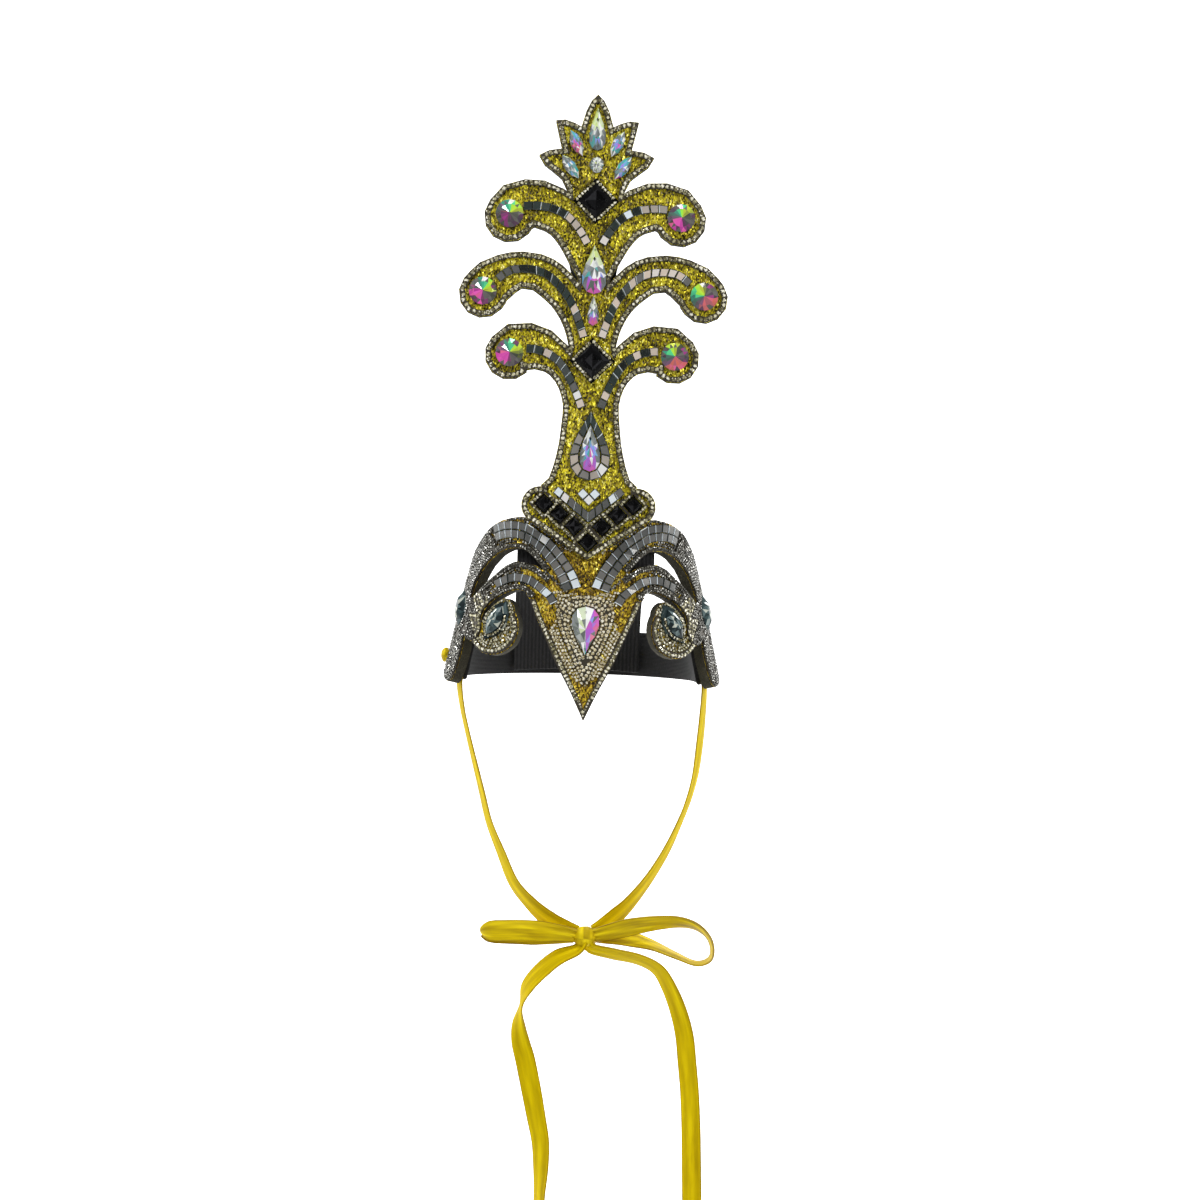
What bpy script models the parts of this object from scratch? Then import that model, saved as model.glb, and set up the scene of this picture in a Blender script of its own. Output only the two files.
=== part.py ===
# Carnival headdress: a foam helmet front bent round the head and a tall flat spire, set with cut stones,
# mirror tiles and rhinestone bands, and held by a crown strap, a back band and a ribbon tied under the chin.
# Metres. +Z is up and the wearer faces -Y. The origin is the middle of the head opening, level with the
# lower tips of the side bands.
#
# The foam is drawn as a flat pattern: "round" is the distance along the head from the middle of the front,
# positive to the viewer's right, "up" is the height above the rim, and "out" is the distance in front of the
# head. The helmet's pattern is bent round the head, and the spire's stays flat.

import math

import bmesh
import bpy
import numpy as np
from mathutils import Matrix, Vector
from mathutils.geometry import delaunay_2d_cdt

# Head opening
HEAD_HALF_WIDTH = 0.0765
HEAD_LENGTH = 0.192
BROW_DEPTH = 0.052
NAPE_DEPTH = 0.085
SIDE_LEAN = 0.235
LEAN_HEIGHT = 0.080

# Materials' thicknesses and clearances
FOAM = 0.006
GAP = 0.00035
RIM = 0.0004
CHAIN_HEIGHT = 0.0018
CHAIN_WIDTH = 0.0030
TILE_HEIGHT = 0.0012
TILE = 0.005
FOLD = 0.008
RISE_FOLD = 0.020

# Helmet front
SHIELD_HALF_WIDTH = 0.0338
FRONT_TOP = 0.099
ARM_REACH = 0.0867
ARM_WIDTH = 0.018
LOWER_ARM_WIDTH = 0.0164
VOLUTE_RADIUS = 0.0168
LOBE_RADIUS = 0.0082
SLIT_WIDTH = 0.0022

# Spire
SPIRE_TOP = 0.340
PALMETTE_HALF_WIDTH = 0.033
CHEVRON_HALF_WIDTH = 0.0385
SHOULDER_RADIUS = 0.0108
NECK_HALF_WIDTH = 0.0160
BACKING_HALF_WIDTH = 0.0115

# Straps
CROWN_STRAP_HALF_WIDTH = 0.040
STRAP_THICKNESS = 0.0025
BACK_BAND_HEIGHT = 0.028
BACK_BAND_UP = 0.003
BACK_BAND_INSET = 0.0027

# Stones
RIVOLI = 0.0160
SQUARE = 0.0115
DIAMOND = 0.0200
SHIELD_DROP_SIZE = (0.0146, 0.0280)
STEM_DROP = (0.0137, 0.0281)
NECK_DROP = (0.0116, 0.0265)
NECK_RING_BAND = 0.0064
NECK_RING_POINT = 0.0137
PALMETTE_DROP = (0.0094, 0.0247)
PALMETTE_NAVETTE = (0.0068, 0.0165)
PALMETTE_OVAL = (0.0040, 0.0046)
STEM_SLIM_DROP = (0.0068, 0.0172)
VOLUTE_STONE = (0.0090, 0.0192)
SIDE_STONE = (0.0120, 0.0210)
STONE_HEIGHT = 0.0045
SMALL_STONE_HEIGHT = 0.0032
FRAME_HEIGHT = 0.0018
FRAME_WIDTH = 0.0022

# Ribbon
RIBBON_WIDTH = 0.012
RIBBON_THICKNESS = 0.001
CHIN_DROP = 0.146
LOOP_REACH = 0.080
LOOP_DEPTH = 0.008
LOOP_DROP = 0.014
TAIL_DROP = 0.161

# Heights and distances that follow from the sizes above
SHIELD_HEIGHT = 0.5475 * FRONT_TOP
ARM_HEIGHT = 0.8929 * FRONT_TOP
LOWER_ARM_REACH = 0.7785 * ARM_REACH
LOWER_ARM_HEIGHT = 0.6424 * FRONT_TOP
VOLUTE_ROUND = 0.6171 * ARM_REACH
VOLUTE_UP = 0.3434 * FRONT_TOP
CHEVRON_BOTTOM = 0.7414 * FRONT_TOP
CHEVRON_RISE = 0.3141 * FRONT_TOP
CHEVRON_SHOULDER = CHEVRON_BOTTOM + CHEVRON_RISE
STEM_BOTTOM = 1.0505 * FRONT_TOP
SPIRE_RISE = SPIRE_TOP - STEM_BOTTOM
PALMETTE_BASE = STEM_BOTTOM + 0.7288 * SPIRE_RISE
STEM_TOP = STEM_BOTTOM + 0.7712 * SPIRE_RISE
BACKING_TOP = STEM_BOTTOM + 0.6695 * SPIRE_RISE
RIBBON_START = (1.015 * ARM_REACH, 0.1212 * FRONT_TOP)
BACK_BAND_START = 0.992 * ARM_REACH

# Outline and midline tables, as shares of the sizes above

# Half of the shield: across of SHIELD_HALF_WIDTH, up of SHIELD_HEIGHT
SHIELD_EDGE = [
    (0.00, -0.350), (0.240, -0.018), (0.470, 0.277), (0.665, 0.554),
    (0.795, 0.747), (0.905, 0.917), (1.00, 1.000), (0.89, 1.140),
]
# Upper arm's midline from the shield to the side tip: round of ARM_REACH, up of ARM_HEIGHT, half of ARM_WIDTH / 2
UPPER_ARM = [
    (0.081, 0.645, 1.00), (0.173, 0.820, 1.00), (0.288, 0.944, 1.02), (0.392, 1.000, 1.05),
    (0.496, 0.998, 1.02), (0.600, 0.970, 0.99), (0.709, 0.905, 0.95), (0.819, 0.814, 1.00),
    (0.897, 0.696, 1.00), (0.931, 0.566, 0.92), (0.948, 0.373, 0.91), (0.968, 0.204, 0.90),
    (1.000, 0.080, 0.80),
]
# Lower arm's midline from the shield round the volute: round, up and half of the LOWER_ARM sizes
LOWER_ARM = [
    (0.252, 0.739, 0.98), (0.356, 0.896, 0.98), (0.459, 0.980, 1.00), (0.570, 1.000, 1.00),
    (0.682, 0.947, 0.84), (0.793, 0.870, 0.74), (0.900, 0.770, 0.80), (1.000, 0.640, 0.96),
    (1.010, 0.500, 0.92),
]
# Slit between the lower arm and the volute: round and up of the LOWER_ARM sizes
SLIT = [
    (0.500, 0.845), (0.570, 0.845), (0.640, 0.828), (0.726, 0.788), (0.811, 0.722), (0.876, 0.652),
    (0.895, 0.600),
]
# Seam between the upper arm's two tile rows: round of ARM_REACH, up of ARM_HEIGHT
UPPER_SEAM = [
    (0.083, 0.643), (0.113, 0.724), (0.152, 0.790), (0.196, 0.854), (0.248, 0.916), (0.306, 0.969),
    (0.360, 1.002), (0.421, 1.021), (0.484, 1.028), (0.559, 1.025), (0.634, 0.998),
]
# Middle of the lower arm's tile row: round and up of the LOWER_ARM sizes
LOWER_SEAM = [
    (0.252, 0.763), (0.292, 0.838), (0.370, 0.904), (0.452, 0.965), (0.554, 0.991), (0.652, 0.967),
    (0.770, 0.904),
]
# Rhinestone field of the shield, half: across of SHIELD_HALF_WIDTH, up of SHIELD_HEIGHT
SHIELD_FIELD = [
    (0.00, 0.045), (0.160, 0.250), (0.300, 0.450), (0.415, 0.640), (0.465, 0.800), (0.395, 0.915),
    (0.220, 0.975), (0.00, 0.990),
]
# Stem of the spire: up as the share from STEM_BOTTOM to STEM_TOP, half width of NECK_HALF_WIDTH
STEM = [
    (0.000, 1.70), (0.066, 1.72), (0.088, 1.45), (0.126, 1.30), (0.165, 1.19), (0.203, 1.11),
    (0.242, 1.06), (0.290, 1.01), (0.330, 1.00), (0.385, 0.91), (0.505, 0.85), (0.610, 0.70),
    (0.725, 0.58), (0.813, 0.66), (0.901, 0.81), (1.000, 1.05),
]
# Half of the palmette: across of PALMETTE_HALF_WIDTH, up as the share from PALMETTE_BASE to SPIRE_TOP
PALMETTE = [
    (0.00, 1.000), (0.115, 0.940), (0.200, 0.850), (0.279, 0.711), (0.400, 0.742), (0.560, 0.768),
    (0.721, 0.759), (0.660, 0.620), (0.606, 0.508), (0.820, 0.492), (1.000, 0.445), (0.900, 0.360),
    (0.760, 0.306), (0.600, 0.240), (0.503, 0.141), (0.360, 0.000),
]
# Fronds, from the eye to the stem: across of the reach, up as the share of the rise above the root, half of
# the frond's half width
FROND_SHAPES = {
    "top": [
        (1.000, 0.805, 1.04), (0.906, 0.950, 1.05), (0.784, 0.995, 1.01), (0.652, 1.000, 0.97),
        (0.489, 0.925, 0.94), (0.336, 0.774, 0.87), (0.214, 0.548, 0.79), (0.102, 0.276, 0.75),
        (0.000, 0.000, 0.68),
    ],
    "middle": [
        (1.000, 0.673, 1.03), (0.908, 0.836, 0.99), (0.790, 0.942, 0.88), (0.648, 1.000, 0.78),
        (0.513, 0.977, 0.78), (0.387, 0.876, 0.80), (0.253, 0.678, 0.75), (0.166, 0.444, 0.67),
        (0.111, 0.210, 0.63), (0.079, 0.000, 0.63),
    ],
    "bottom": [
        (1.000, 0.863, 1.03), (0.909, 0.989, 1.02), (0.761, 1.000, 0.98), (0.592, 0.955, 0.87),
        (0.433, 0.822, 0.72), (0.296, 0.557, 0.55), (0.211, 0.279, 0.53), (0.169, 0.000, 0.54),
    ],
}
FROND_TILES = {
    "top": [
        (0.840, 0.955), (0.740, 0.965), (0.640, 0.962), (0.489, 0.935), (0.350, 0.855), (0.240, 0.735), (0.150, 0.580),
        (0.085, 0.430),
    ],
    "middle": [
        (0.870, 0.862), (0.770, 0.985), (0.670, 1.010), (0.550, 1.010), (0.430, 0.950), (0.320, 0.815),
        (0.225, 0.640), (0.165, 0.470), (0.115, 0.270), (0.080, 0.110),
    ],
    "bottom": [
        (0.800, 0.965), (0.650, 0.955), (0.520, 0.890), (0.400, 0.775), (0.300, 0.590), (0.220, 0.390),
        (0.150, 0.170), (0.115, 0.040),
    ],
}
# name: reach, half width, and the midline's root, its crest and the eye's stone as shares of SPIRE_RISE
FRONDS = {
    "top": (0.0491, 0.0140, 0.5636, 0.7314, 0.7047),
    "middle": (0.0633, 0.0134, 0.3890, 0.5703, 0.5161),
    "bottom": (0.0473, 0.0138, 0.2331, 0.3852, 0.3686),
}
# Black squares of the chevron: across of CHEVRON_HALF_WIDTH, up from CHEVRON_BOTTOM as the share to the shoulder
SQUARES = [
    (-0.662, 1.026), (-0.431, 0.842), (-0.205, 0.620), (0.0, 0.325), (0.205, 0.620), (0.431, 0.842),
    (0.662, 1.026),
]
# Crown strap from inside the shell to the nape: along of HEAD_LENGTH / 2 (-1 front, 1 back), up of FRONT_TOP,
# bow across the strap, of the shell's own curve over the strap's width, and the way of that bow in degrees:
# 0 towards the back, 90 down, 180 towards the front
CROWN_STRAP = [
    (-1.000, 0.960, 1.050, 0), (-1.000, 0.800, 1.050, 0), (-0.970, 0.745, 1.020, 45), (-0.860, 0.730, 0.950, 82),
    (-0.620, 0.765, 0.840, 88), (-0.330, 0.800, 0.770, 90), (0.000, 0.805, 0.740, 92), (0.330, 0.760, 0.770, 98),
    (0.620, 0.620, 0.840, 118), (0.815, 0.420, 0.950, 142), (0.895, 0.220, 1.020, 165), (0.912, 0.060, 1.050, 175),
]
# Ribbon's routes, chosen by hand. The last column is the ribbon's turn in degrees: 0 shows its face to the front
# and 90 its edge.
# From the side band to the knot: x of HEAD_HALF_WIDTH, y of HEAD_LENGTH / 2, z of CHIN_DROP
RIBBON_LEFT = [
    (-0.944, -0.568, 0.007, 75), (-0.918, -0.562, -0.099, 78), (-0.865, -0.568, -0.215, 78),
    (-0.808, -0.578, -0.327, 76), (-0.748, -0.594, -0.443, 74), (-0.689, -0.615, -0.558, 72),
    (-0.592, -0.641, -0.678, 66), (-0.486, -0.672, -0.799, 60), (-0.340, -0.706, -0.884, 48),
    (-0.200, -0.732, -0.942, 30), (-0.080, -0.752, -0.972, 14), (0.004, -0.767, -0.988, 6),
]
RIBBON_RIGHT = [
    (0.952, -0.568, 0.007, -73), (0.944, -0.562, -0.112, -70), (0.925, -0.568, -0.233, -68),
    (0.899, -0.578, -0.347, -70), (0.856, -0.594, -0.439, -72), (0.795, -0.615, -0.527, -72),
    (0.688, -0.641, -0.651, -66), (0.554, -0.672, -0.767, -60), (0.405, -0.704, -0.866, -48),
    (0.290, -0.723, -0.924, -32), (0.200, -0.744, -0.962, -16), (0.132, -0.761, -0.984, -8),
]
# Loops, counted from the knot: x of LOOP_REACH, y of LOOP_DEPTH, z of LOOP_DROP
BOW_LEFT = [
    (-0.037, -0.063, 0.036, 0), (-0.200, -0.625, 0.214, 0), (-0.425, -1.000, 0.321, 6),
    (-0.625, -1.000, 0.300, 10), (-0.737, -0.563, 0.229, 10), (-0.750, 0.125, 0.143, 8),
    (-0.650, 0.563, 0.071, 4), (-0.462, 0.688, 0.036, 0), (-0.250, 0.563, 0.000, 0),
    (-0.087, 0.250, 0.000, 0),
]
BOW_RIGHT = [
    (0.025, -0.063, 0.036, 0), (0.150, -0.625, 0.250, 10), (0.312, -0.875, 0.514, 26),
    (0.487, -0.875, 0.700, 40), (0.663, -0.813, 0.771, 52), (0.800, -0.625, 0.586, 66),
    (0.894, -0.438, 0.143, 78), (0.927, -0.313, -0.393, 84), (0.906, -0.188, -0.821, 86),
    (0.812, -0.063, -0.986, 84), (0.663, 0.063, -0.679, 78), (0.475, 0.188, -0.250, 66),
    (0.275, 0.313, 0.000, 40), (0.075, 0.313, 0.036, 10),
]
# Tails, counted from the knot: x of LOOP_REACH, y of LOOP_DEPTH, z of TAIL_DROP
TAIL_LEFT = [
    (-0.062, -0.250, -0.0418, 86), (-0.194, -0.438, -0.070, 70), (-0.319, -0.500, -0.121, 52),
    (-0.415, -0.500, -0.180, 58), (-0.456, -0.500, -0.248, 84), (-0.469, -0.500, -0.317, 52),
    (-0.452, -0.500, -0.379, 28), (-0.417, -0.500, -0.441, 16), (-0.369, -0.500, -0.547, 16),
    (-0.328, -0.500, -0.646, 24), (-0.292, -0.500, -0.739, 34), (-0.285, -0.500, -0.832, 46),
    (-0.290, -0.500, -0.925, 60), (-0.292, -0.500, -1.000, 58),
]
TAIL_RIGHT = [
    (0.044, -0.250, -0.0385, 86), (0.212, -0.438, -0.055, 84), (0.394, -0.500, -0.073, 76),
    (0.535, -0.500, -0.109, 62), (0.623, -0.500, -0.177, 46), (0.693, -0.500, -0.261, 38),
    (0.739, -0.500, -0.348, 32), (0.763, -0.500, -0.447, 30), (0.785, -0.500, -0.547, 30),
    (0.802, -0.500, -0.677, 28), (0.812, -0.500, -0.814, 26), (0.820, -0.500, -0.935, 26),
    (0.824, -0.500, -0.997, 26),
]
BOW_KNOT = (0.065 * HEAD_HALF_WIDTH, -0.8125 * HEAD_LENGTH / 2, -CHIN_DROP)
BOW_KNOT_SIZE = (0.0140, 0.0110, 0.0130)
END_KNOT_SIZE = (0.0080, 0.0070, 0.0090)
END_KNOT_ROUND = 1.102 * ARM_REACH
END_KNOT_UP = 0.1465 * FRONT_TOP

for leftover in list(bpy.data.objects):
    bpy.data.objects.remove(leftover, do_unlink=True)


# Surfaces that the pattern is laid on

def side_width(up):
    """Half width of the head opening at a height: the sides lean in up to LEAN_HEIGHT."""
    return HEAD_HALF_WIDTH - SIDE_LEAN * min(up, LEAN_HEIGHT)


def round_the_head(distance, up):
    """Point on the head at a distance round it from the front: half an ellipse, a straight side, the nape."""
    side = -1.0 if distance < 0 else 1.0
    left = abs(distance)
    width = side_width(up)
    turn = np.linspace(0.0, math.pi / 2, 91)
    middle = -HEAD_LENGTH / 2 + BROW_DEPTH
    straight = HEAD_LENGTH - BROW_DEPTH - NAPE_DEPTH
    for depth, start in ((BROW_DEPTH, 0.0), (NAPE_DEPTH, 1.0)):
        across, along = width * np.sin(turn), depth * np.cos(turn)
        run = np.concatenate([[0.0], np.cumsum(np.hypot(np.diff(across), np.diff(along)))])
        if start == 0.0:
            if left <= run[-1]:
                angle = np.interp(left, run, turn)
                return Vector((side * width * math.sin(angle), middle - depth * math.cos(angle), up))
            left -= run[-1]
            if left <= straight:
                return Vector((side * width, middle + left, up))
            left -= straight
        else:
            angle = math.pi / 2 - np.interp(run[-1] - min(left, run[-1]), run, turn)
            back = middle + straight
            return Vector((side * width * math.cos(angle), back + depth * math.sin(angle), up))


def half_round(up):
    """Distance round the head from the middle of the front to the middle of the nape."""
    turn = np.linspace(0.0, math.pi / 2, 91)
    total = HEAD_LENGTH - BROW_DEPTH - NAPE_DEPTH
    for depth in (BROW_DEPTH, NAPE_DEPTH):
        total += float(np.hypot(np.diff(side_width(up) * np.sin(turn)), np.diff(depth * np.cos(turn))).sum())
    return total


def on_head(distance, up, out):
    """A pattern point bent round the head."""
    step = 0.0001
    along = round_the_head(distance + step, up) - round_the_head(distance - step, up)
    rise = round_the_head(distance, up + step) - round_the_head(distance, up - step)
    return round_the_head(distance, up) + out * along.cross(rise).normalized()


def on_spire(across, up, out):
    """A pattern point on the flat spire."""
    return Vector((across, -HEAD_LENGTH / 2 - out, up))


# Flat shapes

def smooth(rows, spacing):
    """Rows read along a smooth curve through them, about one spacing apart."""
    rows = [np.array(row, float) for row in rows]
    rows = [2 * rows[0] - rows[1], *rows, 2 * rows[-1] - rows[-2]]
    found = []
    for before, start, end, after in zip(rows, rows[1:], rows[2:], rows[3:]):
        steps = max(1, round(float(np.hypot(*(end - start)[:2])) / spacing))
        for t in np.arange(steps) / steps:
            found.append(
                0.5 * (2 * start + (end - before) * t + (2 * before - 5 * start + 4 * end - after) * t * t
                       + (3 * start - before - 3 * end + after) * t ** 3)
            )
    return found + [rows[-2]]


def normals(points):
    """Unit vectors to the left of the way that the points run."""
    points = np.array(points)[:, :2]
    ways = np.gradient(points, axis=0)
    ways /= np.linalg.norm(ways, axis=1)[:, None]
    return np.stack([-ways[:, 1], ways[:, 0]], axis=1)


def stroke(rows, spacing, round_ends=True, end_steps=6):
    """Outline of a brush stroke along rows of across, up and half width."""
    rows = np.array(smooth(rows, spacing))
    left = normals(rows)
    points, half = rows[:, :2], rows[:, 2:3]
    outline = list(points - left * half)
    outline += round_cap(points[-1], left[-1], half[-1, 0], end_steps) if round_ends else []
    outline += list((points + left * half)[::-1])
    outline += round_cap(points[0], -left[0], half[0, 0], end_steps) if round_ends else []
    return [tuple(point) for point in outline]


def round_cap(centre, left, radius, steps):
    """Points of a half circle from the right side of an end to its left side."""
    start = math.atan2(-left[1], -left[0])
    angles = [start + math.pi * i / steps for i in range(1, steps)]
    return [centre + radius * np.array((math.cos(a), math.sin(a))) for a in angles]


def offset_line(rows, spacing, offset):
    """Rows moved sideways: offset is a function of a row's half width."""
    rows = np.array(smooth(rows, spacing))
    moved = rows[:, :2] + normals(rows) * np.array([offset(half) for half in rows[:, 2]])[:, None]
    return [tuple(point) for point in moved]


def line_stroke(points, half, spacing, round_ends=False):
    """A stroke of one width."""
    return stroke([(p[0], p[1], half) for p in points], spacing, round_ends)


def circle(centre, radius, steps):
    return ellipse(centre, radius, radius, steps)


def ellipse(centre, half_width, half_height, steps, start=0.0):
    turns = [start + math.tau * i / steps for i in range(steps)]
    return [(centre[0] + half_width * math.cos(t), centre[1] + half_height * math.sin(t)) for t in turns]


def drop(width, length, steps):
    """A teardrop with its point up, centred."""
    turns = [math.tau * i / steps for i in range(steps)]
    shape = [(math.sin(t) * math.sin(t / 2) ** 1.4, math.cos(t)) for t in turns]
    widest = max(x for x, _ in shape)
    return [(x / widest * width / 2, y * length / 2) for x, y in shape][::-1]


def navette(width, length, steps):
    """Two equal arcs that meet in a point at the top and the bottom."""
    radius = (length ** 2 / 4 + width ** 2 / 4) / width
    reach = math.asin(length / 2 / radius)
    angles = [-reach + 2 * reach * i / (steps // 2) for i in range(steps // 2)]
    right = [(radius * math.cos(a) - radius + width / 2, radius * math.sin(a)) for a in angles]
    return right + [(-x, -y) for x, y in right]


def square(diagonal):
    """A square on its corner, with its corners and its sides' middles."""
    h = diagonal / 2
    return [(h, 0), (h / 2, h / 2), (0, h), (-h / 2, h / 2), (-h, 0), (-h / 2, -h / 2), (0, -h), (h / 2, -h / 2)]


def placed(shape, centre, tilt=0.0):
    """A shape turned by tilt degrees and moved to its centre."""
    c, s = math.cos(math.radians(tilt)), math.sin(math.radians(tilt))
    return [(centre[0] + x * c - y * s, centre[1] + x * s + y * c) for x, y in shape]


def mirrored(outline):
    return [(-x, y) for x, y in outline][::-1]


def both(outlines):
    return list(outlines) + [mirrored(outline) for outline in outlines]


def whole(half):
    """A closed outline from its right half, given from one end of the middle line to the other."""
    left = [(-x, y) for x, y in reversed(half) if abs(x) > 1e-6]
    return list(half) + left


def signed_area(outline):
    x, y = np.array(outline).T
    return 0.5 * float(np.sum(x * np.roll(y, -1) - np.roll(x, -1) * y))


def grown(outline, distance):
    """An outline moved outwards by a distance, or inwards by a negative one, with mitred corners."""
    points = np.array(outline)
    if signed_area(outline) < 0:
        points = points[::-1]
    before, after = points - np.roll(points, 1, axis=0), np.roll(points, -1, axis=0) - points
    out = []
    for a, b in zip(before, after):
        a, b = a / np.linalg.norm(a), b / np.linalg.norm(b)
        first, second = np.array((a[1], -a[0])), np.array((b[1], -b[0]))
        middle = first + second
        middle /= np.linalg.norm(middle)
        out.append(middle / max(0.5, float(middle @ first)))
    return [tuple(point) for point in points + distance * np.array(out)]


# Regions of the pattern

def inside(points, outline):
    """Which points an outline goes round, by its winding number."""
    start = np.array(outline)
    if signed_area(outline) < 0:
        start = start[::-1]
    end = np.roll(start, -1, axis=0)
    winding = np.zeros(len(points), int)
    for (ax, ay), (bx, by) in zip(start, end):
        cross = (bx - ax) * (points[:, 1] - ay) - (points[:, 0] - ax) * (by - ay)
        winding += (ay <= points[:, 1]) & (by > points[:, 1]) & (cross > 0)
        winding -= (ay > points[:, 1]) & (by <= points[:, 1]) & (cross < 0)
    return winding > 0


def triangles(outlines, folds):
    """The plane cut into triangles along every outline and fold line."""
    points, edges = [], []
    for outline in outlines:
        first = len(points)
        points += [Vector(point) for point in outline]
        edges += [(first + i, first + (i + 1) % len(outline)) for i in range(len(outline))]
    for start, end in folds:
        edges.append((len(points), len(points) + 1))
        points += [Vector(start), Vector(end)]
    corners, _, faces, _, _, _ = delaunay_2d_cdt(points, edges, [], 0, 1e-6)
    corners = np.array([tuple(corner) for corner in corners])
    faces = np.array([tuple(face) for face in faces])
    first, second, third = (corners[faces[:, i]] for i in range(3))
    turn = np.cross(second - first, third - first)
    faces[turn < 0] = faces[turn < 0][:, ::-1]
    return corners, faces[np.abs(turn) > 1e-12]


def region_loops(keep, cut=(), within=()):
    """Closed outlines of what lies in any of keep, outside cut and, if it is given, in any of within."""
    corners, faces = triangles([*keep, *cut, *within], [])
    middles = corners[faces].mean(axis=1)

    def in_any(group):
        return np.any([inside(middles, outline) for outline in group], axis=0)

    chosen = in_any(keep)
    if within:
        chosen &= in_any(within)
    if cut:
        chosen &= ~in_any(cut)
    faces = faces[chosen]
    following = {}
    for a, b in boundary(faces):
        following.setdefault(a, []).append(b)
    loops = []
    while following:
        start = next(iter(following))
        loop, here = [], start
        while True:
            there = following[here].pop()
            if not following[here]:
                del following[here]
            loop.append(here)
            here = there
            if here == start:
                break
        if abs(signed_area(corners[loop])) > 1e-6:
            loops.append(straightened(corners[loop]))
    return loops


def largest(loops):
    """The biggest outline of a region with the holes in it."""
    biggest = max(loops, key=signed_area)
    holes = [loop for loop in loops if signed_area(loop) < 0 and inside(np.array(loop[:1]), biggest)[0]]
    return [biggest, *holes]


def boundary(faces):
    """Directed edges that only one triangle has."""
    edges = np.concatenate([faces[:, [0, 1]], faces[:, [1, 2]], faces[:, [2, 0]]])
    present = {tuple(edge) for edge in edges}
    return [(int(a), int(b)) for a, b in edges if (b, a) not in present]


def straightened(loop, tolerance=0.00004, shortest=0.0003):
    """A loop without points that lie on their neighbours' line or right beside the point before."""
    points = [tuple(point) for point in loop]
    changed = True
    while changed and len(points) > 4:
        changed = False
        kept = []
        count = len(points)
        skip = False
        for i in range(count):
            if skip:
                skip = False
                kept.append(points[i])
                continue
            before = np.array(kept[-1] if kept else points[-1])
            here, after = np.array(points[i]), np.array(points[(i + 1) % count])
            way = after - before
            length = np.linalg.norm(way)
            gap = abs(way[0] * (here - before)[1] - way[1] * (here - before)[0]) / max(length, 1e-9)
            if gap < tolerance or np.linalg.norm(here - before) < shortest:
                changed = True
                skip = True
                continue
            kept.append(points[i])
        points = kept
    return points


def fold_lines(loops):
    """Upright and level lines that the bent pattern is creased along."""
    points = np.concatenate([np.array(loop) for loop in loops])
    low, high = points.min(axis=0) - 0.01, points.max(axis=0) + 0.01
    upright = np.arange(math.ceil(low[0] / FOLD), math.floor(high[0] / FOLD) + 1) * FOLD
    level = np.arange(math.ceil(low[1] / RISE_FOLD), math.floor(high[1] / RISE_FOLD) + 1) * RISE_FOLD
    lines = [((x, low[1]), (x, high[1])) for x in upright]
    return lines + [((low[0], y), (high[0], y)) for y in level]


def snapped(loops, reach=0.0005):
    """Loops whose points lie on a fold line where they were right beside it, so that no sliver is left."""
    found = []
    for loop in loops:
        points = []
        for x, y in loop:
            fold, level = round(x / FOLD) * FOLD, round(y / RISE_FOLD) * RISE_FOLD
            points.append((fold if abs(x - fold) < reach else x, level if abs(y - level) < reach else y))
        kept = [p for p, before in zip(points, points[-1:] + points[:-1]) if math.dist(p, before) > 0.0001]
        found.append(kept)
    return found


# Solids

def material(name, colour, roughness, metallic=0.0):
    made = bpy.data.materials.new(name)
    made.use_nodes = True
    shader = made.node_tree.nodes["Principled BSDF"]
    shader.inputs["Base Color"].default_value = (*colour, 1.0)
    shader.inputs["Roughness"].default_value = roughness
    shader.inputs["Metallic"].default_value = metallic
    made.diffuse_color = (*colour, 1.0)
    return made


GLITTER_CLOTH = ("gold_glitter_cloth", (0.62, 0.47, 0.06), 0.45, 0.6)
DARK_FOAM = ("dark_foam", (0.06, 0.06, 0.055), 0.85, 0.0)
BLACK_STRAP = ("black_strap", (0.012, 0.012, 0.012), 0.8, 0.0)
RHINESTONE = ("rhinestone", (0.62, 0.60, 0.54), 0.15, 0.7)
MIRROR = ("mirror_tile", (0.45, 0.45, 0.44), 0.08, 1.0)
RAINBOW_STONE = ("rainbow_stone", (0.62, 0.55, 0.70), 0.08, 0.2)
BLACK_STONE = ("black_stone", (0.008, 0.008, 0.010), 0.1, 0.0)
TEAL_STONE = ("teal_stone", (0.05, 0.11, 0.12), 0.08, 0.2)
SATIN = ("yellow_satin", (0.85, 0.66, 0.04), 0.35, 0.0)


def add_object(name, mesh_data, finish):
    """A scene object from a bmesh, shaded flat, with its own material."""
    mesh = bpy.data.meshes.new(name)
    bmesh.ops.triangulate(mesh_data, faces=mesh_data.faces)
    mesh_data.to_mesh(mesh)
    mesh_data.free()
    mesh.materials.append(material(f"{finish[0]}_{name}", *finish[1:]))
    made = bpy.data.objects.new(name, mesh)
    bpy.context.collection.objects.link(made)
    return made


def sheet(name, loops, low, high, lay, finish, bent):
    """A flat region given its thickness and laid on the head or the spire."""
    loops = snapped(loops) if bent else loops
    corners, faces = triangles(loops, fold_lines(loops) if bent else [])
    middles = corners[faces].mean(axis=1)
    depth = np.sum([inside(middles, loop) for loop in loops], axis=0)
    faces = faces[depth % 2 == 1]
    mesh_data = bmesh.new()
    used = sorted(set(faces.ravel().tolist()))
    inner = {i: mesh_data.verts.new(lay(*corners[i], low)) for i in used}
    outer = {i: mesh_data.verts.new(lay(*corners[i], high)) for i in used}
    for face in faces.tolist():
        mesh_data.faces.new([outer[i] for i in face])
        mesh_data.faces.new([inner[i] for i in reversed(face)])
    for a, b in boundary(faces):
        mesh_data.faces.new([inner[a], inner[b], outer[b], outer[a]])
    return add_object(name, mesh_data, finish)


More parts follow.
